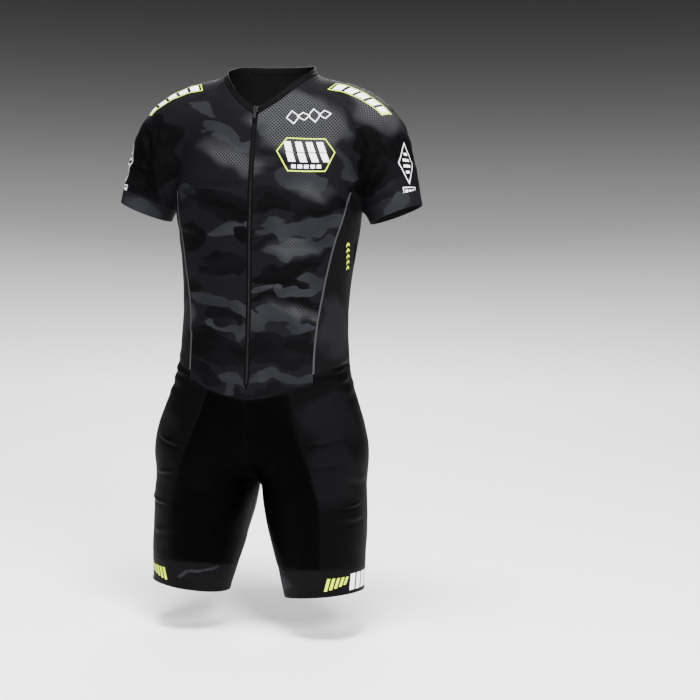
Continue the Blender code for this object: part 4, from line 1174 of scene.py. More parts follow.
class Cutter:
    """Cuts the fine grids of the pieces out of the seam plan."""

    POCKET_TOP, POCKET_FOOT = -0.335, -0.455
    POCKET_SIDE = 2           # columns of the back that the pocket leaves free
    ZIP_GAP = 0.0003
    ZIP_END = 0.0045          # how far the tapes run on below the zip's foot
    ZIP_ROWS, ZIP_COLUMNS = 190, 6

    def __init__(self, plan: SeamPlan) -> None:
        """Keeps the seams and their form."""
        self.plan, self.form = plan, plan.form

    def panel(self, top: Edge, bottom: Edge, left: Edge, right: Edge,
              cells: tuple[int, int]) -> Grid:
        """A panel between four edges: two ruled sheets less their corners, pushed out.

        Args:
            top, bottom, left, right: names of the seams along an edge, or its points.
            cells: rows and columns of cells.
        Returns:
            The panel's points.
        """
        v, u = (positions(count) for count in cells)
        lines = (self.plan.chain(*edge.split()) if isinstance(edge, str) else edge
                 for edge in (top, bottom, left, right))
        edges = [read_edge(line, shares) for line, shares in zip(lines, (u, u, v, v))]
        grid = self.between(*edges, u, v)
        normals = self.between(*(self.form.normal(edge) for edge in edges), u, v)
        inner = (slice(1, -1), slice(1, -1))
        grid[inner] = self.form.push_out(grid[inner], unit(normals)[inner])
        return self.form.settle(grid, 1)

    @staticmethod
    def between(top: np.ndarray, bottom: np.ndarray, left: np.ndarray, right: np.ndarray,
                across: np.ndarray, down: np.ndarray) -> Grid:
        """Values between four edges at shares across and down."""
        u, v = across[None, :, None], down[:, None, None]
        ruled = (1 - v) * top[None] + v * bottom[None]
        ruled = ruled + (1 - u) * left[:, None] + u * right[:, None]
        corners = ((1 - v) * ((1 - u) * top[0] + u * top[-1])
                   + v * ((1 - u) * bottom[0] + u * bottom[-1]))
        return ruled - corners

    def tube(self, top: np.ndarray, bottom: np.ndarray, cells: tuple[int, int],
             leave: float) -> Grid:
        """A sleeve or band between two rings; at leave 1 it sets off square to the top."""
        rows, columns = cells
        shares = np.linspace(0, 1, columns + 1)
        top, bottom = read_edge(top, shares), read_edge(bottom, shares)
        v = positions(rows)[:, None, None]
        run = bottom - top
        along = np.roll(top[:-1], -1, axis=0) - np.roll(top[:-1], 1, axis=0)
        square = np.cross(along, self.form.normal(top[:-1]))
        square *= np.sign((square * run[:-1]).sum())
        square = np.concatenate([square, square[:1]])
        square = unit(square) * np.linalg.norm(run, axis=-1, keepdims=True)
        grid = top + v * run + leave * v * (1 - v)**4 * (square - run)
        normals = unit((1 - v) * self.form.normal(top)[None] + v * self.form.normal(bottom)[None])
        grid[1:-1, :-1] = self.form.push_out(grid[1:-1, :-1], normals[1:-1, :-1])
        grid[:, -1] = grid[:, 0]
        return self.form.settle(grid, 1)

    def ribbon(self, line: np.ndarray, half: float, columns: int) -> Grid:
        """A strip of even width along a line on the form."""
        side = unit(np.cross(self.form.normal(line), unit(np.gradient(line, axis=0))))
        share = np.linspace(-half, half, columns)[None, :, None]
        return self.form.settle(line[:, None] + share * side[:, None], 3)

    def pocket(self, back: Grid) -> Grid:
        """The patch across the lower back, out of the back's own points."""
        heights = back[:, back.shape[1] // 2, 2]
        rows = np.flatnonzero((heights <= self.POCKET_TOP) & (heights >= self.POCKET_FOOT))
        return back[rows[0]:rows[-1] + 1, self.POCKET_SIDE:-self.POCKET_SIDE].copy()

    def zip_tape(self, top: float) -> Grid:
        """The wearer's left tape, from near the centre front to the front panel's edge."""
        plan = self.plan
        heights = np.linspace(top, plan.ZIP_FOOT - self.ZIP_END, self.ZIP_ROWS)
        outer = plan.zip_half(heights) - self.ZIP_GAP
        across = np.linspace(0, 1, self.ZIP_COLUMNS)[None, :]
        x = self.ZIP_GAP + across * (outer[:, None] - self.ZIP_GAP)
        z = np.broadcast_to(heights[:, None], x.shape)
        return self.form.on_height(np.stack([x, np.full_like(x, FRONT_START), z], axis=-1))


def shell_mesh(name: str, outer: Grid, inner: Grid, cloth: np.ndarray, normals: np.ndarray,
               wrapped: bool) -> bpy.types.Mesh:
    """A closed wall: outer face, inner face and rims, with the cloth's own coordinates.

    Args:
        name: the mesh's name.
        outer, inner: the two faces' points; on a wrapped piece the last column is left out.
        cloth: the UV of every point of the full grid.
        normals: outward directions, to turn the faces by.
        wrapped: whether the last column is the first.
    Returns:
        The mesh, with its inner face on the second material slot.
    """
    rows, full = outer.shape[:2]
    columns = full - 1 if wrapped else full
    half = rows * columns
    numbers, uv = number_grid(rows, columns), number_grid(rows, full)
    if wrapped:
        numbers = np.concatenate([numbers, numbers[:, :1]], axis=1)
    face, face_uv = cells_of(numbers), cells_of(uv)
    faces, uvs = [face, face[:, ::-1] + half], [face_uv, face_uv[:, ::-1]]
    ends = [((0, slice(1, None)), (0, slice(None, -1))),
            ((-1, slice(None, -1)), (-1, slice(1, None)))]
    if not wrapped:
        ends += [((slice(None, -1), 0), (slice(1, None), 0)),
                 ((slice(1, None), -1), (slice(None, -1), -1))]
    for start, end in ends:
        faces.append(np.stack([numbers[start], numbers[end],
                               numbers[end] + half, numbers[start] + half], axis=1))
        uvs.append(np.stack([uv[start], uv[end], uv[end], uv[start]], axis=1))
    flat = outer[:, :columns].reshape(-1, 3)
    points = np.concatenate([flat, inner[:, :columns].reshape(-1, 3)])
    turned = np.cross(flat[face[:, 2]] - flat[face[:, 0]], flat[face[:, 3]] - flat[face[:, 1]])
    outward = (turned * normals[:, :columns].reshape(-1, 3)[face[:, 0]]).sum()
    order = slice(None) if outward > 0 else slice(None, None, -1)
    quad, quad_uv = np.concatenate(faces)[:, order], np.concatenate(uvs)[:, order]
    mesh = quad_mesh(name, points, quad, cloth.reshape(-1, 2)[quad_uv])
    inside = np.zeros(len(quad), dtype=np.int32)
    inside[len(face):2 * len(face)] = 1
    mesh.polygons.foreach_set("material_index", inside)
    return mesh


def quad_mesh(name: str, points: np.ndarray, quads: np.ndarray,
              uv: Optional[np.ndarray] = None) -> bpy.types.Mesh:
    """A mesh of four-sided faces.

    Args:
        name: the mesh's name.
        points: its vertices.
        quads: point numbers of each face.
        uv: the faces' corners in the cloth's own coordinates.
    Returns:
        The mesh, shaded smooth with its sharp rims kept.
    """
    mesh = bpy.data.meshes.new(name)
    mesh.vertices.add(len(points))
    mesh.vertices.foreach_set("co", points.astype(np.float32).ravel())
    mesh.loops.add(quads.size)
    mesh.loops.foreach_set("vertex_index", quads.astype(np.int32).ravel())
    mesh.polygons.add(len(quads))
    mesh.polygons.foreach_set("loop_start", np.arange(0, quads.size, 4, dtype=np.int32))
    mesh.update(calc_edges=True)
    if uv is not None:
        layer = mesh.uv_layers.new(name="cloth")
        layer.uv.foreach_set("vector", uv.astype(np.float32).ravel())
    mesh.shade_smooth()
    mesh.set_sharp_from_angle(angle=np.radians(SHARP_FROM))
    return mesh


def add_object(name: str, mesh: bpy.types.Mesh, body: str = SUIT) -> bpy.types.Object:
    """Puts a mesh in the scene under a name, riding on a body."""
    thing = bpy.data.objects.new(name, mesh)
    bpy.context.scene.collection.objects.link(thing)
    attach(thing, body)
    LOG.info("%-28s %6d faces on %s", name, len(mesh.polygons), body)
    return thing


OCTAHEDRON = np.array([(0, 2, 4), (2, 1, 4), (1, 3, 4), (3, 0, 4),
                       (2, 0, 5), (1, 2, 5), (3, 1, 5), (0, 3, 5)])


def octahedra(name: str, centre: np.ndarray, along: np.ndarray, side: np.ndarray,
              rise: np.ndarray, material: bpy.types.Material) -> bpy.types.Mesh:
    """One mesh of many octahedra, each with six corners: its centre plus and minus a half axis.

    Args:
        name: the mesh's name.
        centre: the middles.
        along, side, rise: the half axes at each, in a right-handed order.
        material: what they are made of.
    Returns:
        The mesh, with its faces outwards.
    """
    corners = np.stack([centre - along, centre + along, centre - side, centre + side,
                        centre + rise, centre - rise], axis=1)
    faces = OCTAHEDRON + np.arange(len(centre))[:, None, None] * 6
    mesh = bpy.data.meshes.new(name)
    mesh.from_pydata(corners.reshape(-1, 3).tolist(), [], faces.reshape(-1, 3).tolist())
    mesh.materials.append(material)
    return mesh


class Tailor:
    """Makes the cloth pieces: walls on the form with seams, creases and printed fields."""

    GROOVE, GROOVE_WIDTH = 0.0007, 0.0016      # depth and half width of a sewn seam
    PUCKER, PUCKER_WIDTH, PUCKER_STEP = 0.00016, 0.0045, 0.0100
    PUCKER_WAY = np.array([0.9, 1.1, 1.0])
    HEM_HEIGHT, HEM_BULGE, HEM_RAMP = 0.0250, 0.0004, 0.002

    def __init__(self, form: WornForm, creases: CreaseField, wardrobe: Wardrobe) -> None:
        """Keeps what every piece needs."""
        self.form, self.creases, self.wardrobe = form, creases, wardrobe

    def seam_relief(self, points: np.ndarray, edge: np.ndarray) -> np.ndarray:
        """Height near a sewn edge: its groove, and small puckers beside it."""
        groove = self.GROOVE * np.exp(-(edge / self.GROOVE_WIDTH) ** 2)
        phase = points @ self.PUCKER_WAY * (2 * np.pi / self.PUCKER_STEP)
        pucker = np.sin(phase + 1.5 * np.sin(0.13 * phase))
        return self.PUCKER * pucker * np.exp(-(edge / self.PUCKER_WIDTH) ** 2) - groove

    def sew(self, piece: ClothPiece) -> bpy.types.Object:
        """Args:
            piece: the piece on its grid.
        Returns:
            The object, which stands for the CAD node of its name.
        """
        grid = piece.grid
        normals = self.form.normal(grid)
        down, across = run_along(grid, 0), run_along(grid, 1)
        hem = down[-1:] - down if piece.hem else np.full(grid.shape[:2], FREE)
        height = self.height(piece, down, across, hem)
        outer = grid + normals * (height + piece.wall / 2)[..., None]
        inner = grid + normals * (height - piece.wall / 2)[..., None]
        cloth = np.stack([across, down], axis=-1)
        if piece.wales is not None:
            cloth = knit_directions(grid, normals, np.array(piece.wales), piece.anchor)
        mesh = shell_mesh(piece.name, outer, inner, cloth, normals, piece.wrapped)
        mesh.materials.append(self.wardrobe[piece.finish])
        mesh.materials.append(self.wardrobe["lining"])
        kept = slice(None, -1) if piece.wrapped else slice(None)
        bent = Pattern.bend(grid[:, kept])
        for name, rows in Pattern.FIELDS.items():
            self.keep(mesh, name, Pattern.field(bent, rows))
        self.keep(mesh, "hem", hem[:, kept])
        thing = add_object(f"cloth_{piece.name}", mesh)
        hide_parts(piece.name)
        LOG.info("%28s %5.0f x %5.0f mm, %6.4f m2", "on the form",
                 1000 * across[:, -1].max(), 1000 * down[-1].max(), self.area_of(grid))
        return thing

    def height(self, piece: ClothPiece, down: np.ndarray, across: np.ndarray,
               hem: np.ndarray) -> np.ndarray:
        """How far the middle of a piece's wall stands off the form at each point.

        Args:
            piece: the piece.
            down, across: length run along its columns and rows.
            hem: distance from its lower end, where that is turned up.
        Returns:
            Its creases, lift, seams' grooves and puckers, bulge and hem, added up.
        """
        reach = {"t": down, "b": down[-1:] - down, "l": across, "r": across[:, -1:] - across}
        height = self.creases.height(piece.grid) + piece.lift
        if piece.sewn:
            edge = np.minimum.reduce([reach[side] for side in piece.sewn])
            height += self.seam_relief(piece.grid, edge)
        share = across / np.maximum(across[:, -1:], 1e-6)
        height += piece.bulge * 4 * share * (1 - share)
        above = np.clip((hem - self.HEM_HEIGHT) / self.HEM_RAMP + 0.5, 0, 1)
        return height + self.HEM_BULGE * (1 - above)

    @staticmethod
    def area_of(grid: Grid) -> float:
        """Area of a grid: half the cross product of each cell's diagonals, summed."""
        cross = np.cross(grid[1:, 1:] - grid[:-1, :-1], grid[1:, :-1] - grid[:-1, 1:])
        return float(np.linalg.norm(cross, axis=-1).sum() / 2)

    @staticmethod
    def keep(mesh: bpy.types.Mesh, name: str, values: np.ndarray) -> None:
        """Stores a value for every point, the same on the outer and inner face."""
        both = np.tile(values.ravel(), 2).astype(np.float32)
        mesh.attributes.new(name, "FLOAT", "POINT").data.foreach_set("value", both)


# ---- The suit's parts ---------------------------------------------------------------
@dataclass
class SuitTop:
    """The raglan top: front, side and back panels, sleeves, pocket, binding and tapes."""

    cutter: Cutter
    tailor: Tailor
    sleeve_leave: float = 1.0
    tape_half: float = 0.0016
    tape_span: tuple[float, float] = (0.024, 0.996)    # shares of the princess seam it covers

    # Rows and columns of cells.
    FRONT_CELLS, SIDE_CELLS, BACK_CELLS = (200, 44), (120, 44), (216, 44)
    SLEEVE_CELLS, TAPE_CELLS, BINDING_ROWS = (84, 168), (130, 6), 8

    def cut(self) -> None:
        """Cuts the grids of the wearer's left half and of the pieces across the middle."""
        plan, cutter = self.cutter.plan, self.cutter
        self.front = cutter.panel("neck_front", "waist_front waist_hip", plan.centre_front(),
                                  "raglan_front princess princess_end", self.FRONT_CELLS)
        self.side = cutter.panel("armhole_front armhole_back", "waist_side", "princess",
                                 "side_back", self.SIDE_CELLS)
        self.back = mirror_join(cutter.panel("-neck_back", "-waist_back", plan.centre_back(),
                                             "raglan_back side_back", self.BACK_CELLS))
        ring = plan.armhole_ring()
        self.sleeve = cutter.tube(ring, plan.sleeve_hem(len(ring) - 1), self.SLEEVE_CELLS,
                                  self.sleeve_leave)
        binding = plan.binding_half()
        share = np.linspace(0, 1, self.BINDING_ROWS)[:, None, None]
        band = cutter.form.settle((1 - share) * binding[0] + share * binding[1], 3)
        band[:, -1, 0] = 0.0
        self.binding = mirror_join(band[:, ::-1])
        self.zip_top = binding[0, 0, 2]
        self.pocket = cutter.pocket(self.back)
        self.zip_tape = cutter.zip_tape(self.zip_top)
        rows, columns = self.TAPE_CELLS
        seam = read_edge(plan.seams["princess"], np.linspace(*self.tape_span, rows))
        self.tape = cutter.ribbon(cutter.form.settle(seam, 2), self.tape_half, columns)

    def build(self) -> None:
        """Sews all the pieces of the top."""
        camouflage = "camouflage_knit"
        for side, turn in (("left", np.copy), ("right", mirror)):
            self.sew(f"front_panel_{side}", turn(self.front), camouflage, camouflage, "tbr")
            self.sew(f"side_panel_{side}", turn(self.side), "side_mesh", "side_mesh", "tblr")
            outward = 1.0 if side == "left" else -1.0
            self.sew(f"sleeve_{side}", turn(self.sleeve), camouflage, camouflage, "t",
                     wrapped=True, hem=True, wales=(0.8 * outward, 0.0, -0.6),
                     anchor=self.sleeve.shape[1] // 2)
            self.sew(f"seam_tape_{side}", turn(self.tape), "seam_tape", "seam_tape",
                     wall=0.0007, lift=0.0010, bulge=0.0005, wales=None)
            self.sew(f"zip_tape_{side}", turn(self.zip_tape), "zip_tape", "zip_tape",
                     wall=0.0010, wales=None)
        middle = self.back.shape[1] // 2
        self.sew("back_panel", self.back, camouflage, camouflage, "tblr", anchor=middle)
        self.sew("back_pocket", self.pocket, camouflage, camouflage, "blr", wall=0.0011,
                 lift=0.0016, anchor=middle - self.cutter.POCKET_SIDE)
        self.sew("neck_binding", self.binding, "neck_binding", "black_knit", wall=0.0018,
                 lift=0.0003, wales=None)

    def sew(self, name: str, grid: Grid, finish: str, slot: str, sewn: str = "",
            **options: Union[float, int, bool, Point, None]) -> None:
        """Sews one piece."""
        self.tailor.sew(ClothPiece(name, grid, finish, slot, sewn, **options))


@dataclass
class Shorts:
    """The shorts: front, thigh, seat and hamstring panels and the leg bands."""

    cutter: Cutter
    tailor: Tailor
    point_blunt: float = 0.15      # the inset's point is drawn back by this share of a row

    # Rows and columns of cells.
    FRONT_CELLS, THIGH_CELLS, SEAT_CELLS = (130, 40), (190, 60), (130, 44)
    INSET_CELLS, BAND_CELLS = (78, 28), (20, 150)

    def cut(self) -> None:
        """Cuts the grids of the wearer's left half."""
        plan, cutter = self.cutter.plan, self.cutter
        self.front = cutter.panel("waist_front", "band_front", "rise_front inseam",
                                  "thigh_front", self.FRONT_CELLS)
        self.thigh = cutter.panel("waist_hip -princess_end waist_side", "band_side",
                                  "thigh_front", "thigh_back inset_outer", self.THIGH_CELLS)
        self.seat = cutter.panel("waist_back", "band_seat", "thigh_back inset_inner",
                                 "rise_back inseam", self.SEAT_CELLS)
        point = np.repeat(plan.seams["inset_outer"][:1], 9, axis=0)
        self.inset = cutter.panel(point, "band_inset", "inset_outer", "inset_inner",
                                  self.INSET_CELLS)
        self.inset[0] += self.point_blunt * (self.inset[1] - self.inset[0])
        ring = plan.band_ring()
        self.band = cutter.tube(ring, plan.leg_hem(ring), self.BAND_CELLS, 0.0)

    def build(self) -> None:
        """Sews all the pieces of the shorts."""
        for side, turn in (("left", np.copy), ("right", mirror)):
            for name, grid, finish in (("front_short", self.front, "black_knit"),
                                       ("thigh_panel", self.thigh, "thigh_mesh"),
                                       ("seat_panel", self.seat, "black_knit"),
                                       ("hamstring_inset", self.inset, "camouflage_knit")):
                sewn = "blr" if name == "hamstring_inset" else "tblr"
                self.tailor.sew(ClothPiece(f"{name}_{side}", turn(grid), finish, finish, sewn))
            self.tailor.sew(ClothPiece(f"leg_band_{side}", turn(self.band), "leg_band",
                                       "leg_band", "t", wrapped=True))


# ---- Stitches and zip ---------------------------------------------------------------
class Needle:
    """Rows of stitches along lines on the cloth, each stitch a long octahedron."""

    LENGTH, WIDTH, RISE, PITCH = 0.0019, 0.00055, 0.00022, 0.0026
    OUT = 0.00068             # from the cloth's middle to a stitch's

    def __init__(self, tailor: Tailor) -> None:
        """Starts with no stitches."""
        self.tailor = tailor
        self.form = tailor.form
        self.parts: list[np.ndarray] = []

    def row(self, line: np.ndarray, offset: float = 0.0, lift: float = 0.0,
            seam: bool = True) -> None:
        """Sews a row beside a line.

        Args:
            line: points on the form.
            offset: how far to the line's side the row runs.
            lift: how far the cloth there lies above the form's middle, beside its wall.
            seam: whether the line is a seam, with its groove.
        """
        run = run_of(line)
        stops = np.arange(self.PITCH, run[-1] - self.PITCH / 2, self.PITCH)
        if len(stops) < 2:
            return
        at = read_line(line, run, stops)
        along = unit(np.gradient(at, axis=0))
        side = unit(np.cross(self.form.normal(at), along))
        at = self.form.settle(at + side * offset, 3)
        self.add(at, along, lift, abs(offset) if seam else FREE)

    def add(self, at: np.ndarray, along: np.ndarray, lift: float, edge: float) -> None:
        """Adds a stitch at each point."""
        normal = self.form.normal(at)
        along = unit(along - (along * normal).sum(-1, keepdims=True) * normal)
        side = np.cross(normal, along)
        height = self.tailor.creases.height(at) + lift + self.OUT
        height += self.tailor.seam_relief(at, np.full(len(at), edge))
        centre = at + normal * height[:, None]
        self.parts.append(np.stack([centre, along * self.LENGTH / 2, side * self.WIDTH / 2,
                                    normal * self.RISE]))

    def build(self, name: str, slot: str) -> bpy.types.Object:
        """Joins the stitches into one object and starts afresh."""
        stitches = np.concatenate(self.parts, axis=1)
        self.parts = []
        mesh = octahedra(name, *stitches, self.tailor.wardrobe["thread"])
        return add_object(name, mesh)


class Stitching:
    """Where the suit is stitched: beside every seam, and twin rows along hems."""

    BESIDE = 0.0023           # from a seam to its rows of stitches
    SLEEVE_HEM, LEG_HEM = (0.0215, 0.0240), (0.0040, 0.0065)    # rows above the edges
    TAPE_COLUMNS, POCKET_ROWS = (1, -2), (3, 5)
    HEM_LIFT, TAPE_LIFT, POCKET_LIFT = 0.0003, 0.0010, 0.0015
    UPPER = ("raglan_front", "raglan_back", "armhole_front", "armhole_back", "side_back",
             "neck_front", "neck_side", "neck_back", "waist_front", "waist_hip",
             "waist_side", "waist_back")
    LOWER = ("rise_front", "rise_back", "inseam", "thigh_front", "thigh_back",
             "inset_outer", "inset_inner", "band_front", "band_side", "band_inset",
             "band_seat")

    def __init__(self, needle: Needle, top: SuitTop, shorts: Shorts) -> None:
        """Keeps the pieces to stitch."""
        self.needle, self.top, self.shorts = needle, top, shorts

    def build(self) -> None:
        """Stitches the top and the shorts."""
        plan = self.top.cutter.plan
        hems = [at_distance(self.top.sleeve, distance) for distance in self.SLEEVE_HEM]
        for turn in (np.copy, mirror):
            for name in self.UPPER:
                self.beside(turn(plan.seams[name]))
            for hem in hems:
                self.needle.row(turn(hem), lift=self.HEM_LIFT, seam=False)
            for column in self.TAPE_COLUMNS:
                self.needle.row(turn(self.top.tape[:, column]), lift=self.TAPE_LIFT, seam=False)
        for row in self.POCKET_ROWS:
            self.needle.row(self.top.pocket[row], lift=self.POCKET_LIFT, seam=False)
        self.needle.build("stitches_top", "camouflage_knit")
        hems = [at_distance(self.shorts.band, distance) for distance in self.LEG_HEM]
        for turn in (np.copy, mirror):
            for name in self.LOWER:
                if turn is np.copy or not name.startswith("rise"):
                    self.beside(turn(plan.seams[name]))
            for hem in hems:
                self.needle.row(turn(hem), seam=False)
        self.needle.build("stitches_shorts", "black_knit")

    def beside(self, seam: np.ndarray) -> None:
        """A row of stitches on both sides of a seam."""
        for offset in (-self.BESIDE, self.BESIDE):
            self.needle.row(seam, offset)


@dataclass
class Zip:
    """The zip's coil, slider and pull tab."""

    top: SuitTop
    pitch: float = 0.0013
    reach: float = 0.00125         # half length of a tooth across the zip
    rise: float = 0.00045
    fill: float = 0.42             # a tooth's half thickness as a share of the pitch
    apart: float = 0.0007          # how far the two rows of teeth are off the middle
    out: float = 0.0006            # from the tape's middle to a tooth's
    head: float = -0.0475
    foot: float = -0.4935
    edge_round: float = 0.00022    # of the slider's and the tab's edges
    edge_from: float = 40.0        # degrees from which an edge is rounded
    merge: float = 2e-6            # points nearer than this are one

    def build(self) -> None:
        """Builds the coil and dresses the slider and the tab."""
        wardrobe, form = self.top.tailor.wardrobe, self.top.tailor.form
        heights = np.arange(self.head, self.foot, -self.pitch)
        side = np.where(np.arange(len(heights)) % 2 == 0, self.apart, -self.apart)
        start = np.full(len(heights), FRONT_START)
        at = form.on_height(np.column_stack([side, start, heights]))
        normal = form.normal(at)
        across = np.tile([1.0, 0.0, 0.0], (len(at), 1))
        up = np.cross(normal, across)
        height = self.top.tailor.creases.height(at) + self.out
        mesh = octahedra("zip_coil", at + normal * height[:, None], across * self.reach,
                         up * self.pitch * self.fill, normal * self.rise, wardrobe["zip_coil"])
        add_object("zip_coil", mesh)
        for node, body in (("zip_slider", SUIT), ("zip_pull", PULL)):
            self.dress(node, body)

    def dress(self, node: str, body: str) -> None:
        """A copy of a CAD node with rounded edges, in the zip's metal."""
        source = bpy.data.objects[node]
        mesh = source.data.copy()
        mesh.materials.clear()
        mesh.materials.append(self.top.tailor.wardrobe["zip_metal"])
        work = bmesh.new()
        work.from_mesh(mesh)
        bmesh.ops.remove_doubles(work, verts=work.verts, dist=self.merge)
        bmesh.ops.dissolve_limit(work, angle_limit=np.radians(1), verts=work.verts,
                                 edges=work.edges)
        limit = np.radians(self.edge_from)
        sharp = [edge for edge in work.edges
                 if len(edge.link_faces) == 2 and edge.calc_face_angle() > limit]
        bmesh.ops.bevel(work, geom=sharp, offset=self.edge_round, segments=2, profile=0.6,
                        affect="EDGES", clamp_overlap=True)
        work.to_mesh(mesh)
        work.free()
        thing = add_object(f"metal_{node}", mesh, body)
        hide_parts(node)


# ---- Printed designs ----------------------------------------------------------------
Spot = tuple[float, float]
Quad = tuple[Spot, Spot, Spot, Spot]


class Ink(Enum):
    """Inks of the printed designs, by material name."""

    WHITE = "white_ink"
    LIME = "lime_ink"


def bar(left: float, right: float, low: float, high: float, lean: float = 0.0) -> Quad:
    """A bar whose top is shifted by its lean."""
    return ((left, low), (right, low), (right + lean, high), (left + lean, high))


def outline(corners: Sequence[Spot], width: float) -> list[Quad]:
    """A line of even width inside a convex polygon's edge, as one quad for each side."""
    points = np.array(corners)
    middle = points.mean(axis=0)
    before, after = np.roll(points, 1, axis=0), np.roll(points, -1, axis=0)
    first, second = unit(points - before), unit(after - points)
    bisector = unit(second - first)
    bisector *= np.sign((bisector * (middle - points)).sum(-1, keepdims=True))
    turn = np.abs(first[:, 0] * bisector[:, 1] - first[:, 1] * bisector[:, 0])
    inner = points + bisector * (width / np.maximum(turn, 0.3))[:, None]
    count = len(points)
    return [(tuple(points[k]), tuple(points[(k + 1) % count]),
             tuple(inner[(k + 1) % count]), tuple(inner[k])) for k in range(count)]


def inked(ink: Ink, quads: Iterable[Quad]) -> list[tuple[Ink, Quad]]:
    """Quads in one ink."""
    return [(ink, quad) for quad in quads]


def lozenge(u: float, v: float, half_width: float, half_height: float) -> list[Spot]:
    """Corners of a lozenge."""
    return [(u - half_width, v), (u, v - half_height), (u + half_width, v), (u, v + half_height)]


@dataclass(frozen=True)
class Design:
    """A generic print laid along a guide on the cloth.

    Attributes:
        name: the object's name.
        guide: points near the form; the print's middle runs along them.
        shapes: pairs of an ink and a quad, u along the guide from its middle, v across.
        slot: the record's slot of the cloth below; not used.
        flip: the print's up side is on the guide's other side.
        extra: how much further from the cloth it lies.
    """

    name: str
    guide: Sequence[Point]
    shapes: Sequence[tuple[Ink, Quad]]
    slot: str
    flip: bool = False
    extra: float = 0.0


def shoulder_shapes() -> list[tuple[Ink, Quad]]:
    """Five slanted white bars inside a lime frame."""
    frame = [(-0.058, -0.012), (0.050, -0.012), (0.058, 0.012), (-0.050, 0.012)]
    bars = (bar(start, start + 0.0155, -0.0088, 0.0088, 0.0055)
            for start in np.linspace(-0.051, 0.033, 5))
    return inked(Ink.LIME, outline(frame, 0.0015)) + inked(Ink.WHITE, bars)


def badge_shapes() -> list[tuple[Ink, Quad]]:
    """A long hexagon in lime with white chevrons over a short row of white blocks."""
    frame = [(-0.050, 0.006), (-0.030, -0.027), (0.030, -0.027), (0.050, 0.006),
             (0.034, 0.029), (-0.034, 0.029)]
    bars = []
    for start in np.linspace(-0.034, 0.0225, 4):
        bars.append(bar(start, start + 0.0115, 0.0055, 0.0225, -0.0050))
        bars.append(bar(start + 0.0050, start + 0.0165, -0.0110, 0.0040, -0.0050))
    for start in np.linspace(-0.0240, 0.0160, 5):
        bars.append(bar(start, start + 0.0070, -0.0215, -0.0155))
    return inked(Ink.LIME, outline(frame, 0.0017)) + inked(Ink.WHITE, bars)


def linked_lozenges(count: int, half_width: float, half_height: float, line: float,
                    step: float = 1.55, low: float = 0.62) -> list[tuple[Ink, Quad]]:
    """White lozenge outlines in a row, overlapping like links.

    Args:
        count: how many.
        half_width, half_height: half sizes of a tall one.
        line: the outline's width.
        step: from one to the next, as a share of the half width.
        low: height of every second one as a share of a tall one's.
    Returns:
        The shapes.
    """
    sides: list[Quad] = []
    for k in range(count):
        middle = (k - (count - 1) / 2) * step * half_width
        tall = half_height * (1.0 if k % 2 == 0 else low)
        sides += outline(lozenge(middle, 0, half_width, tall), line)
    return inked(Ink.WHITE, sides)


def sleeve_shapes() -> list[tuple[Ink, Quad]]:
    """A tall white lozenge outline with short bars inside and a block under it."""
    quads = outline(lozenge(-0.012, 0, 0.036, 0.018), 0.0016)
    for k in range(4):
        middle = -0.027 + 0.010 * k
        half = 0.0095 - 0.0018 * abs(k - 1.5) * 2
        quads.append(bar(middle - 0.0022, middle + 0.0022, -half, half))
    frame = [(0.028, -0.015), (0.046, -0.015), (0.046, 0.015), (0.028, 0.015)]
    quads += outline(frame, 0.0015)
    for start in (-0.0105, -0.0030, 0.0045):
        quads.append(bar(0.0325, 0.0415, start, start + 0.0055))
    return inked(Ink.WHITE, quads)


def chevron_shapes() -> list[tuple[Ink, Quad]]:
    """A column of lime chevrons."""
    bars = []
    for start in np.linspace(-0.023, 0.017, 5):
        bars.append(bar(start, start + 0.0040, 0.0, 0.0048, 0.0040))
        bars.append(bar(start + 0.0040, start + 0.0080, -0.0048, 0.0, -0.0040))
    return inked(Ink.LIME, bars)


def band_shapes() -> list[tuple[Ink, Quad]]:
    """Slanted lime stripes at both ends and white blocks between them."""
    stripes = []
    for k in range(5):
        near, far, low = 0.0730 - 0.0085 * k, 0.078 - 0.0085 * k, 0.0020 * k - 0.0110
        stripes.append(bar(-far, -near, low, 0.0100, 0.0060))
        stripes.append(bar(near, far, low, 0.0100, -0.0060))
    blocks = (bar(start, start + 0.0120, -0.0135, 0.0135, 0.0030)
              for start in np.linspace(-0.031, 0.017, 4))
    return inked(Ink.LIME, stripes) + inked(Ink.WHITE, blocks)


# Points near the form that the prints' middles run along.
BAND_GUIDE = [(0.150, -0.106, -0.822), (0.172, -0.084, -0.821), (0.184, -0.050, -0.821),
              (0.183, -0.020, -0.822), (0.170, 0.008, -0.825)]
SHOULDER_GUIDE = [(0.112, -0.026, 0.003), (0.140, -0.026, -0.002), (0.166, -0.026, -0.014),
                  (0.191, -0.026, -0.029), (0.210, -0.024, -0.048)]
SLEEVE_GUIDE = [(0.236, -0.022, -0.090), (0.241, -0.026, -0.119), (0.246, -0.029, -0.145),
                (0.252, -0.031, -0.184)]
SIDE_GUIDE = [(0.149, -0.036, -0.252), (0.148, -0.029, -0.279), (0.146, -0.022, -0.306)]
BADGE_GUIDE = [(0.036, -0.098, -0.115), (0.086, -0.087, -0.116), (0.134, -0.056, -0.115)]
CHEST_GUIDE = [(0.056, -0.080, -0.054), (0.087, -0.068, -0.050), (0.119, -0.058, -0.046)]
BACK_GUIDE = [(0.020, 0.082, -0.424), (-0.030, 0.080, -0.428), (-0.075, 0.066, -0.428)]
LEG_GUIDE = [(0.148, 0.030, -0.826), (0.122, 0.040, -0.828), (0.094, 0.038, -0.830)]


def pair(name: str, guide: Sequence[Point], shapes: Sequence[tuple[Ink, Quad]],
         slot: str) -> list[Design]:
    """A design on the wearer's left and its mirror image on the right."""
    return [Design(f"{name}_left", guide, shapes, slot),
            Design(f"{name}_right", [(-x, y, z) for x, y, z in guide], shapes, slot, flip=True)]


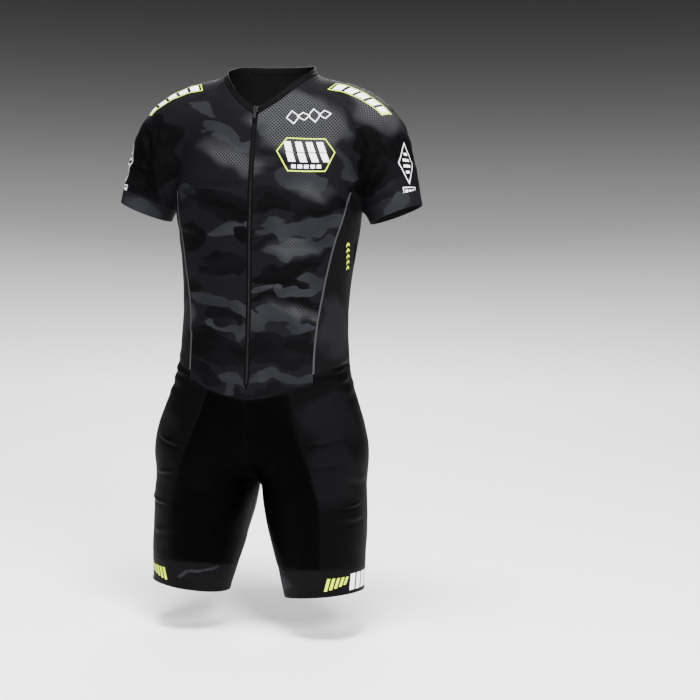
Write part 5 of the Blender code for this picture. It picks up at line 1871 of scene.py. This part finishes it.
DESIGNS = (
    *pair("print_shoulder", SHOULDER_GUIDE, shoulder_shapes(), "camouflage_knit"),
    Design("print_badge", BADGE_GUIDE, badge_shapes(), "camouflage_knit"),
    Design("print_motif_chest", CHEST_GUIDE, linked_lozenges(4, 0.0115, 0.0125, 0.0014),
           "camouflage_knit"),
    *pair("print_sleeve", SLEEVE_GUIDE, sleeve_shapes(), "camouflage_knit"),
    *pair("print_side", SIDE_GUIDE, chevron_shapes(), "side_mesh"),
    *pair("print_band", BAND_GUIDE, band_shapes(), "leg_band"),
    Design("print_motif_back", BACK_GUIDE, linked_lozenges(4, 0.0125, 0.0140, 0.0014),
           "camouflage_knit", extra=0.0015),
    Design("print_motif_band", LEG_GUIDE, linked_lozenges(3, 0.0115, 0.0125, 0.0014), "leg_band"),
)


class PrintShop:
    """Lays the generic designs onto the cloth as thin films that follow its creases."""

    CELL = 0.0022
    FILM = 0.0009             # from the cloth's middle to the film
    STOPS = 80                # points that a guide is read at

    def __init__(self, tailor: Tailor) -> None:
        """Keeps the form and the creases."""
        self.tailor = tailor

    def build(self, design: Design) -> bpy.types.Object:
        """Prints one design as an object with a slot for each ink."""
        form = self.tailor.form
        guide = np.array(design.guide)
        along = run_of(guide)
        stops = np.linspace(0, along[-1], self.STOPS)
        fine = form.settle(read_rows(np.column_stack([along, guide]), stops))
        run = run_of(fine)
        run -= run[-1] / 2
        tangent = unit(np.gradient(fine, axis=0))
        side = unit(np.cross(form.normal(fine), tangent)) * (-1.0 if design.flip else 1.0)
        points, quads, inks, count = [], [], [], 0
        names = sorted({ink.value for ink, _ in design.shapes})
        for ink, quad in design.shapes:
            spots, faces = self.divide(np.array(quad))
            u, v = spots[:, 0], spots[:, 1]
            at, ahead, across = (read_line(line, run, u) for line in (fine, tangent, side))
            over = u - np.clip(u, run[0], run[-1])
            points.append(at + over[:, None] * ahead + v[:, None] * across)
            quads.append(faces + count)
            inks.append(np.full(len(faces), names.index(ink.value), dtype=np.int32))
            count += len(spots)
        grid = form.settle(np.concatenate(points), 5)
        normal = form.normal(grid)
        height = self.tailor.creases.height(grid) + self.FILM + design.extra
        placed = grid + normal * height[:, None]
        quad = np.concatenate(quads)
        turned = np.cross(placed[quad[:, 2]] - placed[quad[:, 0]],
                          placed[quad[:, 3]] - placed[quad[:, 1]])
        wrong = (turned * normal[quad[:, 0]]).sum(-1) < 0
        quad[wrong] = quad[wrong][:, ::-1]
        mesh = quad_mesh(design.name, placed, quad)
        for name in names:
            mesh.materials.append(self.tailor.wardrobe[name])
        mesh.polygons.foreach_set("material_index", np.concatenate(inks))
        return add_object(design.name, mesh)

    def divide(self, quad: np.ndarray) -> tuple[np.ndarray, np.ndarray]:
        """A quad's points in cells of an even size, and its faces."""
        wide = max(np.linalg.norm(quad[1] - quad[0]), np.linalg.norm(quad[2] - quad[3]))
        high = max(np.linalg.norm(quad[3] - quad[0]), np.linalg.norm(quad[2] - quad[1]))
        columns, rows = (int(np.ceil(size / self.CELL)) + 1 for size in (wide, high))
        s = np.linspace(0, 1, columns)[None, :, None]
        t = np.linspace(0, 1, rows)[:, None, None]
        spots = (1 - t) * ((1 - s) * quad[0] + s * quad[1]) + t * ((1 - s) * quad[3] + s * quad[2])
        return spots.reshape(-1, 2), cells_of(number_grid(rows, columns))


# ---- Studio -------------------------------------------------------------------------
@dataclass
class Studio:
    """A pale floor that sweeps up into a round backdrop, soft lamps and the camera."""

    floor: float = -0.920
    floor_radius: float = 2.7
    sweep: float = 3.4
    wall_top: float = 4.5
    turns: int = 96
    floor_rings: tuple[float, ...] = (0.0004, 0.5, 1.5, 2.5)
    pale_to: float = -0.83         # height up to which the paper is pale
    halving: float = 0.38          # height over which its tone falls to a half
    air: float = 0.52              # strength of the even light all round
    lens: float = 77.73            # millimetres on a sensor 36 wide
    camera_place: Point = (0.7689, -2.4919, -0.2591)
    camera_turn: Point = (14.01, 4.02, -1.03)    # yaw, pitch and roll in degrees

    # Each lamp: its name, place, target, size and power.
    LAMPS = (
        ("key", (2.0, -2.6, 1.4), (0.0, 0.0, -0.30), 1.2, 262.0),
        ("fill", (-2.6, -2.0, 0.8), (0.0, 0.0, -0.45), 2.2, 12.0),
        ("top", (0.1, -1.0, 3.0), (0.0, 0.0, -0.40), 1.3, 400.0),
        ("back", (-0.8, 3.0, 1.8), (0.0, 0.0, -0.60), 2.4, 180.0),
    )

    def build(self) -> None:
        """Builds the stage, the lights and the camera."""
        self.backdrop()
        for lamp in self.LAMPS:
            self.light(*lamp)
        world = bpy.data.worlds.new("studio_air")
        bpy.context.scene.world = world
        world.use_nodes = True
        inputs = world.node_tree.nodes["Background"].inputs
        inputs["Color"].default_value = (1, 1, 1, 1)
        inputs["Strength"].default_value = self.air
        self.camera()

    def backdrop(self) -> None:
        """Turns a profile of floor, sweep and wall round the upright axis."""
        bend = np.linspace(0, np.pi / 2, 16)
        curve = self.sweep * np.array([np.sin(bend), 1 - np.cos(bend)])
        rings = np.array(self.floor_rings)
        wall = self.floor_radius + self.sweep
        radius = np.concatenate([rings, self.floor_radius + curve[0], [wall]])
        height = np.concatenate([0 * rings + self.floor, self.floor + curve[1], [self.wall_top]])
        angle = np.linspace(0, 2 * np.pi, self.turns, endpoint=False)
        x, y = radius[:, None] * np.cos(angle), radius[:, None] * np.sin(angle)
        points = np.stack([x, y, np.broadcast_to(height[:, None], x.shape)], axis=-1)
        numbers = number_grid(len(radius), self.turns)
        quads = cells_of(np.concatenate([numbers, numbers[:, :1]], axis=1).T)
        mesh = quad_mesh("backdrop", points.reshape(-1, 3), quads)
        mesh.materials.append(self.paper())
        thing = bpy.data.objects.new("backdrop", mesh)
        bpy.context.scene.collection.objects.link(thing)

    def paper(self) -> bpy.types.Material:
        """Pale paper with painted shade: its colour falls to a half with every step of height on
        the wall.
        """
        graph = ShaderGraph("backdrop_paper")
        _, _, z = graph.split(graph.place())
        rise = graph.maths("MAXIMUM", z - self.pale_to, 0.0)
        share = graph.maths("POWER", 0.5, rise / self.halving)
        # Painted shade: the wall darkens with height where the lamps' light falls off.
        colour = graph.blend(share, (0.0, 0.0, 0.0), (0.94, 0.94, 0.94))
        return graph.finish(colour, 0.9, Specular_IOR_Level=0.1)

    def light(self, name: str, place: Point, target: Point, size: float, power: float) -> None:
        """A square area lamp aimed at a target."""
        lamp = bpy.data.lights.new(name, "AREA")
        lamp.energy, lamp.size = power, size
        thing = bpy.data.objects.new(name, lamp)
        thing.location = place
        thing.rotation_mode = "QUATERNION"
        thing.rotation_quaternion = (Vector(target) - Vector(place)).to_track_quat("-Z", "Y")
        bpy.context.scene.collection.objects.link(thing)

    def camera(self) -> None:
        """The camera, fitted to the photograph: a little right of the front and level."""
        yaw, pitch, roll = np.radians(self.camera_turn)
        ahead = np.array([-np.sin(yaw) * np.cos(pitch), np.cos(yaw) * np.cos(pitch),
                          -np.sin(pitch)])
        right = unit(np.cross(ahead, [0, 0, 1]))
        up = np.cross(right, ahead)
        turned_right = np.cos(roll) * right - np.sin(roll) * up
        turned_up = np.cos(roll) * up + np.sin(roll) * right
        frame = Matrix(np.column_stack([turned_right, turned_up, -ahead]).tolist()).to_4x4()
        camera = bpy.data.cameras.new("camera")
        camera.lens, camera.sensor_width = self.lens, 36.0
        camera.clip_end = 60.0
        thing = bpy.data.objects.new("camera", camera)
        thing.matrix_world = Matrix.Translation(self.camera_place) @ frame
        bpy.context.scene.collection.objects.link(thing)
        bpy.context.scene.camera = thing


# ---- The whole ----------------------------------------------------------------------
def main() -> None:
    """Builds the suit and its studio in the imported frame."""
    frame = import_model()
    LOG.info("%d nodes in the packed frame", len(frame["nodes"]))
    form = WornForm()
    plan = SeamPlan(form, DENSITY)
    creases = CreaseField(form, FRONT_CREASES + SLEEVE_CREASES + BACK_CREASES)
    tailor = Tailor(form, creases, Wardrobe())
    cutter = Cutter(plan)
    top, shorts = SuitTop(cutter, tailor), Shorts(cutter, tailor)
    for part in (top, shorts):
        part.cut()
        part.build()
    Stitching(Needle(tailor), top, shorts).build()
    Zip(top).build()
    shop = PrintShop(tailor)
    for design in DESIGNS:
        shop.build(design)
    Studio().build()


if __name__ == "__main__":
    main()
